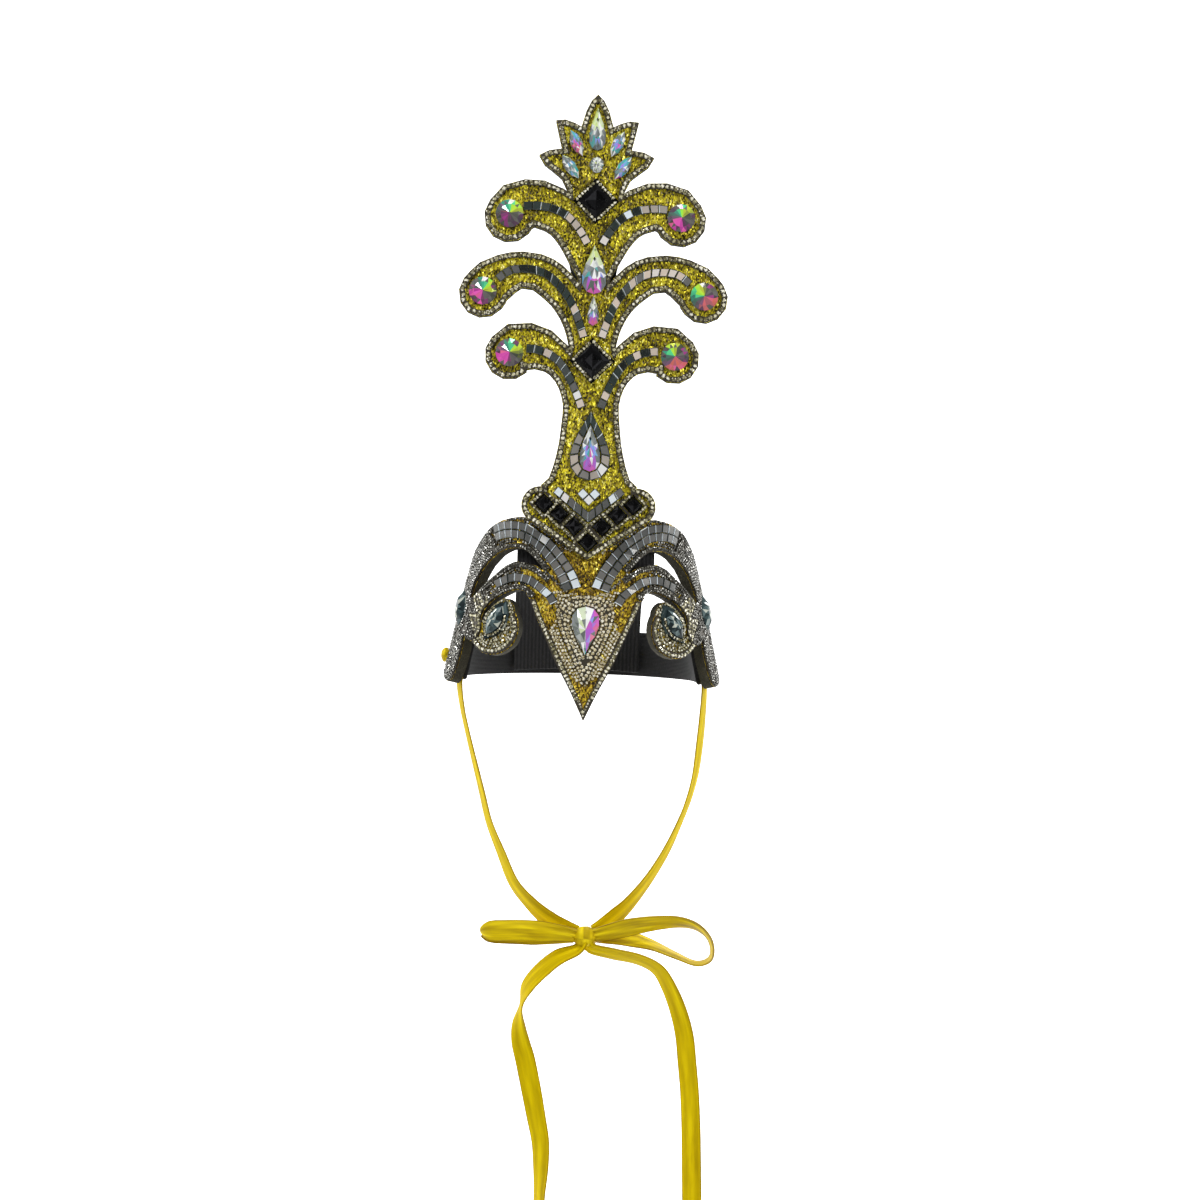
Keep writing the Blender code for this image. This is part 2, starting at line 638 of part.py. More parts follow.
def loft(name, rings, finish):
    """A closed solid through rings of as many points each, with its ends capped."""
    mesh_data = bmesh.new()
    made = [[mesh_data.verts.new(point) for point in ring] for ring in rings]
    count = len(rings[0])
    for first, second in zip(made, made[1:]):
        for i in range(count):
            j = (i + 1) % count
            mesh_data.faces.new([first[i], first[j], second[j], second[i]])
    mesh_data.faces.new(made[0][::-1])
    mesh_data.faces.new(made[-1])
    bmesh.ops.recalc_face_normals(mesh_data, faces=mesh_data.faces)
    return add_object(name, mesh_data, finish)


def stone(name, shape, centre, lay, height, finish, tilt=0.0, table=0.5, frame=0.0):
    """A cut stone on the pattern: a flat base, a girdle, facets and a table, in a frame if it has one."""
    base = FOAM + GAP
    if lay is on_spire:
        base = 2 * FOAM + 2 * GAP
    middle = lay(*centre, base)
    reach = 0.004
    along = (lay(centre[0] + reach, centre[1], base) - lay(centre[0] - reach, centre[1], base)) / (2 * reach)
    rise = (lay(centre[0], centre[1] + reach, base) - lay(centre[0], centre[1] - reach, base)) / (2 * reach)
    out = along.cross(rise).normalized()
    shape = placed(shape, (0.0, 0.0), tilt)

    def ring(outline, level):
        return [middle + along * x + rise * y + out * level for x, y in outline]

    rings = []
    if frame:
        rings += [ring(grown(shape, frame), 0.0), ring(grown(shape, frame), FRAME_HEIGHT), ring(shape, FRAME_HEIGHT)]
    else:
        rings.append(ring(shape, 0.0))
    rings.append(ring(shape, (FRAME_HEIGHT if frame else 0.0) + 0.28 * height))
    rings.append(ring([(x * table, y * table) for x, y in shape], (FRAME_HEIGHT if frame else 0.0) + height))
    return loft(name, rings, finish)


def ribbon_rings(route, spacing=0.009):
    """Cross sections of a ribbon along a route of x, y, z and turn."""
    rows = np.array(route, float)
    lengths = np.linalg.norm(np.diff(rows[:, :3], axis=0), axis=1)
    points = [2 * rows[0] - rows[1], *rows, 2 * rows[-1] - rows[-2]]
    path = []
    for k, length in enumerate(lengths):
        before, start, end, after = points[k:k + 4]
        steps = max(1, round(length / spacing))
        for t in np.arange(steps) / steps:
            path.append(
                0.5 * (2 * start + (end - before) * t + (2 * before - 5 * start + 4 * end - after) * t * t
                       + (3 * start - before - 3 * end + after) * t ** 3)
            )
    path = np.array(path + [rows[-1]])
    ways = np.gradient(path[:, :3], axis=0)
    rings = []
    depth = Vector((0, -1, 0))
    facing = None
    for (x, y, z, turn), way in zip(path, ways):
        way = Vector(way).normalized()
        level = depth.cross(way)
        if level.length < 0.4 and facing:
            level = facing
        if facing and level.dot(facing) < 0:
            level = -level
        facing = level.normalized()
        wide = facing * math.cos(math.radians(turn)) + depth * math.sin(math.radians(turn))
        wide = (wide - way * wide.dot(way)).normalized()
        thick = way.cross(wide) * RIBBON_THICKNESS / 2
        wide *= RIBBON_WIDTH / 2
        at = Vector((x, y, z))
        rings.append([at - wide - thick, at + wide - thick, at + wide + thick, at - wide + thick])
    return rings


def lump(name, centre, size, finish, rings=5, sides=10):
    """A rounded knot: a squashed ball."""
    levels = [math.pi * (i + 1) / (rings + 1) for i in range(rings)]
    made = []
    for level in levels:
        ring = []
        for k in range(sides):
            turn = math.tau * k / sides
            ring.append(Vector(centre) + Vector((
                size[0] / 2 * math.cos(level),
                size[1] / 2 * math.sin(level) * math.cos(turn),
                size[2] / 2 * math.sin(level) * math.sin(turn),
            )))
        made.append(ring)
    return loft(name, made, finish)


# Helmet pattern

def scaled(rows, across, up, half=1.0):
    return [(row[0] * across, row[1] * up, *(value * half for value in row[2:])) for row in rows]


UPPER_ARM_ROWS = scaled(UPPER_ARM, ARM_REACH, ARM_HEIGHT, ARM_WIDTH / 2)
LOWER_ARM_ROWS = scaled(LOWER_ARM, LOWER_ARM_REACH, LOWER_ARM_HEIGHT, LOWER_ARM_WIDTH / 2)
VOLUTE = (VOLUTE_ROUND, VOLUTE_UP)
VOLUTE_STONE_PLACE = (0.939 * VOLUTE_ROUND, 1.09 * VOLUTE_UP)
SIDE_STONE_PLACE = (0.950 * ARM_REACH, 0.487 * ARM_HEIGHT)
SHIELD_DROP_PLACE = (0.0, 0.61 * SHIELD_HEIGHT)
LOBE = (VOLUTE_ROUND - 0.37 * VOLUTE_RADIUS, VOLUTE_UP + 0.49 * VOLUTE_RADIUS)


def slit_outline(extra=0.0):
    rows = scaled(SLIT, LOWER_ARM_REACH, LOWER_ARM_HEIGHT)
    return line_stroke(rows, SLIT_WIDTH / 2 + extra, 0.004, round_ends=True)


def shield_outline(inset=0.0):
    half = scaled(SHIELD_EDGE, SHIELD_HALF_WIDTH, SHIELD_HEIGHT)
    half += [
        (0.65 * SHIELD_HALF_WIDTH, 0.70 * FRONT_TOP),
        (0.85 * SHIELD_HALF_WIDTH, 0.86 * FRONT_TOP),
        (0.95 * SHIELD_HALF_WIDTH, 0.99 * FRONT_TOP),
        (0.0, FRONT_TOP),
    ]
    return grown(whole(half), -inset)


def shell_loops():
    half = [
        stroke(UPPER_ARM_ROWS, 0.006),
        stroke(LOWER_ARM_ROWS, 0.006),
        circle(VOLUTE, VOLUTE_RADIUS, 28),
        circle(LOBE, LOBE_RADIUS, 20),
    ]
    return region_loops([shield_outline(), *both(half)], cut=both([slit_outline()]))


def chevron_outline(extra=0.0):
    """Chevron panel: two round shoulders and straight sides down to the point."""
    centre = (CHEVRON_HALF_WIDTH - SHOULDER_RADIUS, CHEVRON_SHOULDER)
    down = math.degrees(math.atan2(CHEVRON_SHOULDER - CHEVRON_BOTTOM, CHEVRON_HALF_WIDTH)) - 90
    arc = [math.radians(down + (100 - down) * i / 10) for i in range(11)]
    half = [(0.0, CHEVRON_BOTTOM)]
    half += [(centre[0] + SHOULDER_RADIUS * math.cos(a), centre[1] + SHOULDER_RADIUS * math.sin(a)) for a in arc]
    half.append((0.0, CHEVRON_SHOULDER + SHOULDER_RADIUS))
    return grown(whole(half), extra)


def arm_tile_outlines(extra=0.0):
    upper = line_stroke(scaled(UPPER_SEAM, ARM_REACH, ARM_HEIGHT), TILE + extra, TILE + 0.0004)
    lower = line_stroke(scaled(LOWER_SEAM, LOWER_ARM_REACH, LOWER_ARM_HEIGHT), TILE / 2 + extra, TILE + 0.0004)
    return upper, lower


def add_helmet():
    loops = shell_loops()
    sheet("helmet_shell", loops, 0.0, FOAM, on_head, GLITTER_CLOTH, bent=True)
    low = FOAM + GAP
    panel = chevron_outline(GAP)
    upper, lower = arm_tile_outlines()
    for side, turned in (("left", mirrored), ("right", list)):
        for name, outline in (("upper", upper), ("lower", lower)):
            found = region_loops([turned(outline)], cut=[panel])
            sheet(f"{name}_arm_tiles_{side}", found, low, low + TILE_HEIGHT, on_head, MIRROR, bent=True)
        found = region_loops([turned(outline) for outline in helmet_chain_strokes()],
                             cut=[panel, turned(slit_outline(GAP)), turned(volute_stone_outline(RIM + FRAME_WIDTH)),
                                  turned(side_stone_outline(RIM)),
                                  *(turned(outline) for outline in arm_tile_outlines(GAP))])
        sheet(f"helmet_chain_{side}", largest(found), low, low + CHAIN_HEIGHT, on_head, RHINESTONE, bent=True)
    add_shield()


def helmet_chain_strokes():
    """Rhinestone lines along both arms' edges and round the volute, and the field of the side band."""
    half = CHAIN_WIDTH / 2

    def edge(rows, side):
        return offset_line(rows, 0.005, lambda width: side * (width - half - RIM))

    arm, hook = UPPER_ARM_ROWS, LOWER_ARM_ROWS
    lines = [line_stroke(edge(arm[first:9], side), half, 0.005) for first, side in ((1, -1), (3, 1))]
    lines += [line_stroke(edge(hook[1:8], side), half, 0.005) for side in (-1, 1)]
    lines.append(stroke([(x, y, width - RIM) for x, y, width in arm[6:]], 0.006))
    lines.append(stroke([(x, y, width - RIM) for x, y, width in hook[6:]], 0.005))
    lines.append(stroke([(LOWER_ARM_REACH, 0.7 * LOWER_ARM_HEIGHT, 0.005),
                         (0.93 * ARM_REACH, 0.7 * LOWER_ARM_HEIGHT, 0.005)], 0.005))
    ring = [(VOLUTE[0] + (VOLUTE_RADIUS - half - RIM) * math.cos(a), VOLUTE[1] + (VOLUTE_RADIUS - half - RIM) * math.sin(a))
            for a in [math.radians(150 + 18 * i) for i in range(12)]]
    lines.append(line_stroke(ring, half, 0.005))
    return lines


def volute_stone_outline(extra):
    return placed(grown(navette(*VOLUTE_STONE, 10), extra), VOLUTE_STONE_PLACE, 31)


def side_stone_outline(extra):
    return placed(grown(navette(*SIDE_STONE, 10), extra), SIDE_STONE_PLACE)


def shield_drop_outline(extra):
    return placed(grown(drop(*SHIELD_DROP_SIZE, 14), extra), SHIELD_DROP_PLACE, 180)


def add_shield():
    low, high = FOAM + GAP, FOAM + GAP + CHAIN_HEIGHT
    field = whole(scaled(SHIELD_FIELD, SHIELD_HALF_WIDTH, SHIELD_HEIGHT))
    tiles = [outline for pair in both(arm_tile_outlines(GAP)) for outline in [pair]]
    found = region_loops([field], cut=[shield_drop_outline(RIM), *tiles])
    sheet("shield_field", found, low, high, on_head, RHINESTONE, bent=True)
    edge = scaled(SHIELD_EDGE[:7], SHIELD_HALF_WIDTH, SHIELD_HEIGHT)
    outer = grown(whole(edge + [(0.5 * SHIELD_HALF_WIDTH, 1.2 * SHIELD_HEIGHT)]), -RIM)
    inner = grown(whole(edge + [(0.5 * SHIELD_HALF_WIDTH, 1.2 * SHIELD_HEIGHT)]), -RIM - CHAIN_WIDTH)
    chains = [outline for side in (list, mirrored) for outline in map(side, helmet_chain_strokes())]
    level = [(-1, -1), (1, -1), (1, 0.93 * SHIELD_HEIGHT), (-1, 0.93 * SHIELD_HEIGHT)]
    found = region_loops([outer], cut=[inner, *(grown(outline, GAP) for outline in chains)], within=[level])
    sheet("shield_edge_chain", largest(found), low, high, on_head, RHINESTONE, bent=True)


# Spire pattern

def spire_height(share):
    return STEM_BOTTOM + share * SPIRE_RISE


def palmette_point(across, up):
    return across * PALMETTE_HALF_WIDTH, PALMETTE_BASE + up * (SPIRE_TOP - PALMETTE_BASE)


def frond_rows(name, table):
    reach, half, root, crest, _ = FRONDS[name]
    return [
        (row[0] * reach, spire_height(root + row[1] * (crest - root)), *(value * half for value in row[2:]))
        for row in table[name]
    ]


def stem_outline():
    rows = [(STEM_BOTTOM + up * (STEM_TOP - STEM_BOTTOM), half * NECK_HALF_WIDTH) for up, half in STEM]
    half = [(0.0, rows[0][0])] + [(half, up) for up, half in rows] + [(0.0, rows[-1][0])]
    return whole(half)


def palmette_outline():
    half = [palmette_point(*row) for row in PALMETTE]
    return whole(half[::-1])


def spire_shapes():
    fronds = [stroke(frond_rows(name, FROND_SHAPES), 0.006) for name in FRONDS]
    return [stem_outline(), palmette_outline(), chevron_outline(), *both(fronds)]


def v_outline(bottom, top, across, half):
    """A V-shaped strip: its middle line runs from the point at the bottom to both ends."""
    way = np.array((across, top - bottom))
    way /= np.linalg.norm(way)
    side = half / way[0]
    end = np.array((across, top))
    left = np.array((-way[1], way[0])) * half
    right = [(0.0, bottom - side), tuple(end - left), tuple(end + left), (0.0, bottom + side)]
    return [right[0], right[1], right[2], right[3], (-right[2][0], right[2][1]), (-right[1][0], right[1][1])]


V_BOTTOM = CHEVRON_BOTTOM + 0.791 * CHEVRON_RISE
V_TOP = CHEVRON_BOTTOM + 1.293 * CHEVRON_RISE
V_ACROSS = 0.499 * CHEVRON_HALF_WIDTH
SMALL_V_BOTTOM = V_BOTTOM + 0.309 * CHEVRON_RISE
SMALL_V_ACROSS = 0.151 * CHEVRON_HALF_WIDTH


def square_places():
    return [(across * CHEVRON_HALF_WIDTH, CHEVRON_BOTTOM + up * CHEVRON_RISE) for across, up in SQUARES]


NECK_DROP_UP = STEM_BOTTOM + 0.1419 * SPIRE_RISE


def add_spire():
    plate = region_loops(spire_shapes())
    back, front = FOAM + GAP, 2 * FOAM + GAP
    sheet("spire_plate", plate, back, front, on_spire, GLITTER_CLOTH, bent=False)
    low = front + GAP
    outline = largest(plate)[0]
    cleared = [grown(placed(shape, place, tilt), GAP + frame) for _, shape, place, tilt, _, _, _, frame in spire_stones()]
    border = region_loops([grown(outline, -RIM)], cut=[grown(outline, -RIM - CHAIN_WIDTH), *cleared])
    sheet("spire_border_chain", largest(border), low, low + CHAIN_HEIGHT, on_spire, RHINESTONE, bent=False)
    backing = [
        (0.0, FRONT_TOP + GAP), (BACKING_HALF_WIDTH, FRONT_TOP + GAP), (BACKING_HALF_WIDTH, 0.83 * BACKING_TOP),
        (1.13 * BACKING_HALF_WIDTH, 0.91 * BACKING_TOP), (1.60 * BACKING_HALF_WIDTH, BACKING_TOP), (0.0, BACKING_TOP),
    ]
    sheet("spire_backing", [whole(backing)], 0.0, FOAM, on_spire, DARK_FOAM, bent=False)
    for name in FRONDS:
        row = line_stroke(frond_rows(name, FROND_TILES), TILE / 2, TILE + 0.0004)
        for side, turned in (("left", mirrored), ("right", list)):
            loops = region_loops([turned(row)], cut=cleared)
            sheet(f"{name}_frond_tiles_{side}", largest(loops), low, low + TILE_HEIGHT, on_spire, MIRROR, bent=False)
    add_chevron(low)
    neck = placed(drop(*NECK_DROP, 14), (0.0, NECK_DROP_UP))
    size = (NECK_DROP[0] + 2 * NECK_RING_BAND, NECK_DROP[1] + NECK_RING_POINT)
    ring = region_loops([placed(drop(*size, 16), (0.0, NECK_DROP_UP + 0.11 * NECK_RING_POINT))],
                        cut=[grown(neck, 0.0005)])
    sheet("neck_tiles", ring, low, low + TILE_HEIGHT, on_spire, MIRROR, bent=False)


def spire_stones():
    """Stones of the spire: name, shape, place, tilt, height, finish, the table's share and the frame's width."""
    rows = []
    for name, (reach, _, _, _, up) in FRONDS.items():
        for side, sign in (("left", -1), ("right", 1)):
            rows.append((f"{name}_frond_stone_{side}", circle((0, 0), RIVOLI / 2, 14), (sign * reach, spire_height(up)),
                         0, STONE_HEIGHT, RAINBOW_STONE, 0.15, 0.0))
    for side, sign in (("left", -1), ("right", 1)):
        for level, across, up, tilt in (("upper", 0.3576, 0.5547, 26), ("lower", 0.4545, 0.3438, 36)):
            rows.append((f"palmette_{level}_navette_{side}", navette(*PALMETTE_NAVETTE, 8),
                         palmette_point(sign * across, up), -sign * tilt, SMALL_STONE_HEIGHT, RAINBOW_STONE, 0.5, 0.0))
    for name, up in (("upper", 0.7403), ("lower", 0.3534)):
        rows.append((f"stem_diamond_{name}", square(DIAMOND), (0.0, spire_height(up)), 0, SMALL_STONE_HEIGHT,
                     BLACK_STONE, 0.6, FRAME_WIDTH))
    plain = [
        ("palmette_drop", drop(*PALMETTE_DROP, 14), palmette_point(0.0, 0.6875)[1], SMALL_STONE_HEIGHT),
        ("palmette_oval", ellipse((0, 0), *PALMETTE_OVAL, 12), palmette_point(0.0, 0.3656)[1], SMALL_STONE_HEIGHT),
        ("stem_drop", drop(*STEM_DROP, 14), spire_height(0.5746), STONE_HEIGHT),
        ("stem_slim_drop", drop(*STEM_SLIM_DROP, 10), spire_height(0.4750), SMALL_STONE_HEIGHT),
        ("neck_drop", drop(*NECK_DROP, 14), NECK_DROP_UP, STONE_HEIGHT),
    ]
    rows += [(name, shape, (0.0, up), 0, height, RAINBOW_STONE, 0.5, 0.0) for name, shape, up, height in plain]
    for number, place in enumerate(square_places(), 1):
        rows.append((f"black_square_{number}", square(SQUARE), place, 0, SMALL_STONE_HEIGHT, BLACK_STONE, 0.6, 0.0))
    return rows


def add_chevron(low):
    tiles = v_outline(V_BOTTOM, V_TOP, V_ACROSS, TILE / 2)
    sheet("chevron_tiles", [tiles], low, low + TILE_HEIGHT, on_spire, MIRROR, bent=False)
    small = v_outline(SMALL_V_BOTTOM, SMALL_V_BOTTOM + 0.75 * SMALL_V_ACROSS, SMALL_V_ACROSS, TILE / 2)
    sheet("chevron_small_tiles", [small], low, low + TILE_HEIGHT, on_spire, MIRROR, bent=False)
    frames = [placed(square(SQUARE + 2 * CHAIN_WIDTH), place) for place in square_places()]
    lower_v = v_outline(V_BOTTOM - 1.04 * TILE, V_TOP - 1.04 * TILE, 1.05 * V_ACROSS, CHAIN_WIDTH / 3)
    holes = [placed(square(SQUARE + 3 * GAP), place) for place in square_places()]
    panel = chevron_outline(-RIM - CHAIN_WIDTH - GAP)
    found = region_loops([*frames, lower_v], cut=[*holes, grown(tiles, GAP)], within=[panel])
    sheet("chevron_frames", found, low, low + FRAME_HEIGHT, on_spire, RHINESTONE, bent=False)


def add_stones():
    for name, shape, place, tilt, height, finish, table, frame in spire_stones():
        stone(name, shape, place, on_spire, height, finish, tilt, table, frame)
    for side, sign in (("left", -1), ("right", 1)):
        stone(f"volute_stone_{side}", navette(*VOLUTE_STONE, 10), (sign * VOLUTE_STONE_PLACE[0], VOLUTE_STONE_PLACE[1]),
              on_head, SMALL_STONE_HEIGHT, TEAL_STONE, tilt=sign * 31, frame=FRAME_WIDTH)
        stone(f"side_stone_{side}", navette(*SIDE_STONE, 10), (sign * SIDE_STONE_PLACE[0], SIDE_STONE_PLACE[1]),
              on_head, STONE_HEIGHT, TEAL_STONE)
    stone("shield_drop", drop(*SHIELD_DROP_SIZE, 14), SHIELD_DROP_PLACE, on_head, STONE_HEIGHT, RAINBOW_STONE, tilt=180)


# Straps and ribbon

def add_crown_strap():
    """A wide strap whose front end follows the shell's inner side and whose middle arches over the crown."""
    path = np.array([(along * (HEAD_LENGTH / 2 - 2 * GAP), up * FRONT_TOP) for along, up, _, _ in CROWN_STRAP])
    ways = np.gradient(path, axis=0)
    ways /= np.linalg.norm(ways, axis=1)[:, None]
    shares = np.linspace(-1, 1, 9)
    curve = CROWN_STRAP_HALF_WIDTH / side_width(LEAN_HEIGHT)
    rings = []
    for point, way, (_, _, bow, turn) in zip(path, ways, CROWN_STRAP):
        thick = np.array((-way[1], way[0])) * STRAP_THICKNESS
        inward = np.array((math.cos(math.radians(turn)), -math.sin(math.radians(turn)))) * bow * BROW_DEPTH
        ring = []
        for depth, order in ((0.0, shares), (1.0, shares[::-1])):
            for share in order:
                dip = 1 - math.sqrt(1 - (curve * share) ** 2)
                y, z = point + inward * dip + thick * depth
                ring.append(Vector((share * CROWN_STRAP_HALF_WIDTH, y, z)))
        rings.append(ring)
    loft("crown_strap", rings, BLACK_STRAP)


def add_back_band():
    """A plain band from inside one side band round the nape to the other."""
    low, high = BACK_BAND_UP, BACK_BAND_UP + BACK_BAND_HEIGHT
    outer, inner = -BACK_BAND_INSET, -BACK_BAND_INSET - STRAP_THICKNESS
    reach = half_round(low)
    places = np.linspace(BACK_BAND_START, reach, 18)
    rings = []
    for sign, order in ((-1, places[:-1]), (1, places[::-1])):
        for distance in order:
            share = distance / reach
            top = sign * share * half_round(high)
            bottom = sign * distance
            ring = []
            for at, up, out in ((bottom, low, outer), (top, high, outer), (top, high, inner), (bottom, low, inner)):
                ring.append(on_head(at, up, out))
            rings.append(ring)
    loft("back_band", rings, BLACK_STRAP)


def add_ribbon():
    for name, sign, route in (("ribbon_left", -1, RIBBON_LEFT), ("ribbon_right", 1, RIBBON_RIGHT)):
        top = on_head(sign * RIBBON_START[0], RIBBON_START[1], -RIBBON_THICKNESS / 2 - 3 * GAP)
        rows = [(*top, -sign * 73)]
        rows += [(x * HEAD_HALF_WIDTH, y * HEAD_LENGTH / 2, z * CHIN_DROP, turn) for x, y, z, turn in route]
        loft(name, ribbon_rings(rows), SATIN)
    for name, route in (("ribbon_tail_left", TAIL_LEFT), ("ribbon_tail_right", TAIL_RIGHT)):
        loft(name, ribbon_rings(from_knot(route, TAIL_DROP)), SATIN)
    add_bow()
    knot = on_head(-END_KNOT_ROUND, END_KNOT_UP, FOAM + CHAIN_HEIGHT)
    lump("ribbon_end_knot", knot, END_KNOT_SIZE, SATIN, rings=4, sides=8)


def from_knot(route, drop_length):
    x, y, z = BOW_KNOT
    return [(x + a * LOOP_REACH, y + b * LOOP_DEPTH, z + c * drop_length, turn) for a, b, c, turn in route]


def add_bow():
    """Two loops that start and end in the knot, joined to it in one body."""
    knot = lump("bow", BOW_KNOT, BOW_KNOT_SIZE, SATIN)
    for name, route in (("bow_loop_left", BOW_LEFT), ("bow_loop_right", BOW_RIGHT)):
        part = loft(name, ribbon_rings(from_knot(route, LOOP_DROP)), SATIN)
        part.hide_render = True
        part.display_type = "WIRE"
        join = knot.modifiers.new(name, "BOOLEAN")
        join.operation = "UNION"
        join.solver = "EXACT"
        join.object = part


add_helmet()
add_spire()
add_stones()
add_crown_strap()
add_back_band()
add_ribbon()
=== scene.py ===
# %% [markdown]
# # A carnival headdress in glitter cloth, stones and satin
#
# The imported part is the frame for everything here: it gives each foam plate, chain, tile row, stone and
# ribbon its place and size. This lesson dresses it. Every piece is laid on the surface that carries it on the
# real headdress, so it looks right from all sides, and not only from the camera.

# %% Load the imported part
import math

import bmesh
import bpy
import numpy as np
from mathutils import Matrix, Vector
from mathutils.bvhtree import BVHTree
from mathutils.kdtree import KDTree


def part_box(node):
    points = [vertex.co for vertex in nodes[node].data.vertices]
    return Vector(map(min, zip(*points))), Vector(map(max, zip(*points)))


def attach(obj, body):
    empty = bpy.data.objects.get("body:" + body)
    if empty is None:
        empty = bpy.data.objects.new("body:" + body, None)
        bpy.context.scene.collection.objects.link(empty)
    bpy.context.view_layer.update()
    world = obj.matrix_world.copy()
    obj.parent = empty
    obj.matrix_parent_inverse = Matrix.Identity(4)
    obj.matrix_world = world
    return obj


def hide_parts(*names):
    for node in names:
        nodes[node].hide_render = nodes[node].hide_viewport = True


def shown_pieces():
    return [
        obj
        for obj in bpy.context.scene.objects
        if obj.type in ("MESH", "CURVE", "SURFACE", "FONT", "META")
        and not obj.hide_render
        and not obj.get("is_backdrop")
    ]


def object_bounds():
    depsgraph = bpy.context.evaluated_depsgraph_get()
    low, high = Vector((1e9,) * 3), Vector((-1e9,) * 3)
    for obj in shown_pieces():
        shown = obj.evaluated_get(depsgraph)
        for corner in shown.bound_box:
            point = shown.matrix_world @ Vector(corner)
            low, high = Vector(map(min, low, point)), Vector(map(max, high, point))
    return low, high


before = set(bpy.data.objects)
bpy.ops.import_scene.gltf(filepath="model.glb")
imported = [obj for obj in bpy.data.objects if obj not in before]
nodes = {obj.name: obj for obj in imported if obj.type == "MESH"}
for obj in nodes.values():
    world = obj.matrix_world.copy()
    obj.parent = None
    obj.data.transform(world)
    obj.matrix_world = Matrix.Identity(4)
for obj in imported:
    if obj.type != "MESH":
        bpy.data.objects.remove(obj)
cad_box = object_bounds()
print("loaded", len(nodes), "nodes, top at", round(cad_box[1].z, 4), "m")

# %% [markdown]
# ## Camera, floor and light
#
# The photograph is taken from straight ahead at the height of the brow with a long lens, and the headdress
# leans a little in the picture, so the camera is rolled by that much. Lights are large and soft, as in a
# small product studio. A pale bowl stands all round, so that glass and mirrors have something plain to
# reflect from every side, with dark gaps between the lamps that make the facets stand out.

# %% Camera
VIEW_TURN = math.radians(2.0)
VIEW_ROLL = math.atan2(15, 625)  # the spire leans 15 pixels over 625
PLACE = Vector((-0.0443, -1.6014, 0.0510))
PIXELS = 1200
FOCAL_PIXELS = 2613.0

ahead = Vector((math.sin(VIEW_TURN), math.cos(VIEW_TURN), 0.0))
level = Vector((math.cos(VIEW_TURN), -math.sin(VIEW_TURN), 0.0))
upright = Vector((0.0, 0.0, 1.0))
right = level * math.cos(VIEW_ROLL) + upright * math.sin(VIEW_ROLL)
up = upright * math.cos(VIEW_ROLL) - level * math.sin(VIEW_ROLL)

bpy.ops.object.select_all(action="DESELECT")
bpy.ops.object.camera_add()
camera = bpy.context.active_object
camera.matrix_world = Matrix.Translation(PLACE) @ Matrix((right, up, -ahead)).transposed().to_4x4()
camera.data.sensor_width = 36.0
camera.data.lens = FOCAL_PIXELS / PIXELS * camera.data.sensor_width
camera.data.clip_start = 0.05
camera.data.clip_end = 30.0
bpy.context.scene.camera = camera
print("camera lens", round(camera.data.lens, 1), "mm")

# %% Lights
CENTRE = Vector((0.0, -0.05, 0.05))
LAMPS = {
    "key": ((-1.0, -1.7, 1.4), 0.40, 24), "fill": ((1.5, -1.4, 0.6), 0.50, 13),
    "top": ((0.1, -0.6, 1.9), 0.50, 14), "back_left": ((-1.5, 1.1, 0.8), 0.7, 16),
    "back_right": ((1.5, 1.1, 0.8), 0.7, 16), "low": ((-0.7, -1.9, -0.9), 0.40, 9),
}
for name, (place, size, watts) in LAMPS.items():
    bpy.ops.object.light_add(type="AREA", location=place)
    lamp = bpy.context.active_object
    lamp.name = name
    lamp.data.shape = "SQUARE"
    lamp.data.size = size
    lamp.data.energy = watts
    lamp.rotation_mode = "QUATERNION"
    lamp.rotation_quaternion = (CENTRE - Vector(place)).to_track_quat("-Z", "Y")
bpy.context.scene.world = bpy.data.worlds.new("studio")
bpy.context.scene.world.use_nodes = True
backdrop_light = bpy.context.scene.world.node_tree.nodes["Background"]
backdrop_light.inputs["Color"].default_value = (1.0, 1.0, 1.0, 1.0)
backdrop_light.inputs["Strength"].default_value = 0.34
bpy.context.scene.view_settings.view_transform = "Standard"
print("lamps", len(LAMPS))

# %% [markdown]
# ## A short way to write materials
#
# Shader nodes are joined by hand in most files, which hides what they work out. Here a small class stands for
# a socket, so that plus, minus and times on it add the Math nodes, and one method makes any other node.

# %% Sockets that can be calculated with
class Wire:
    """An output of a node, which numbers and other wires can be added to or multiplied by."""

    def __init__(self, paint, socket):
        self.paint = paint
        self.socket = socket

    def maths(self, operation, *values):
        return self.paint.node("ShaderNodeMath", {"operation": operation}, dict(enumerate(values)))

    def __add__(self, other):
        return self.maths("ADD", self, other)

    def __radd__(self, other):
        return self.maths("ADD", other, self)

    def __sub__(self, other):
        return self.maths("SUBTRACT", self, other)

    def __mul__(self, other):
        return self.maths("MULTIPLY", self, other)

    def above(self, level):
        return self.maths("GREATER_THAN", self, level)

    def wave(self):
        return self.maths("SINE", self)

    def size(self):
        return self.maths("ABSOLUTE", self)


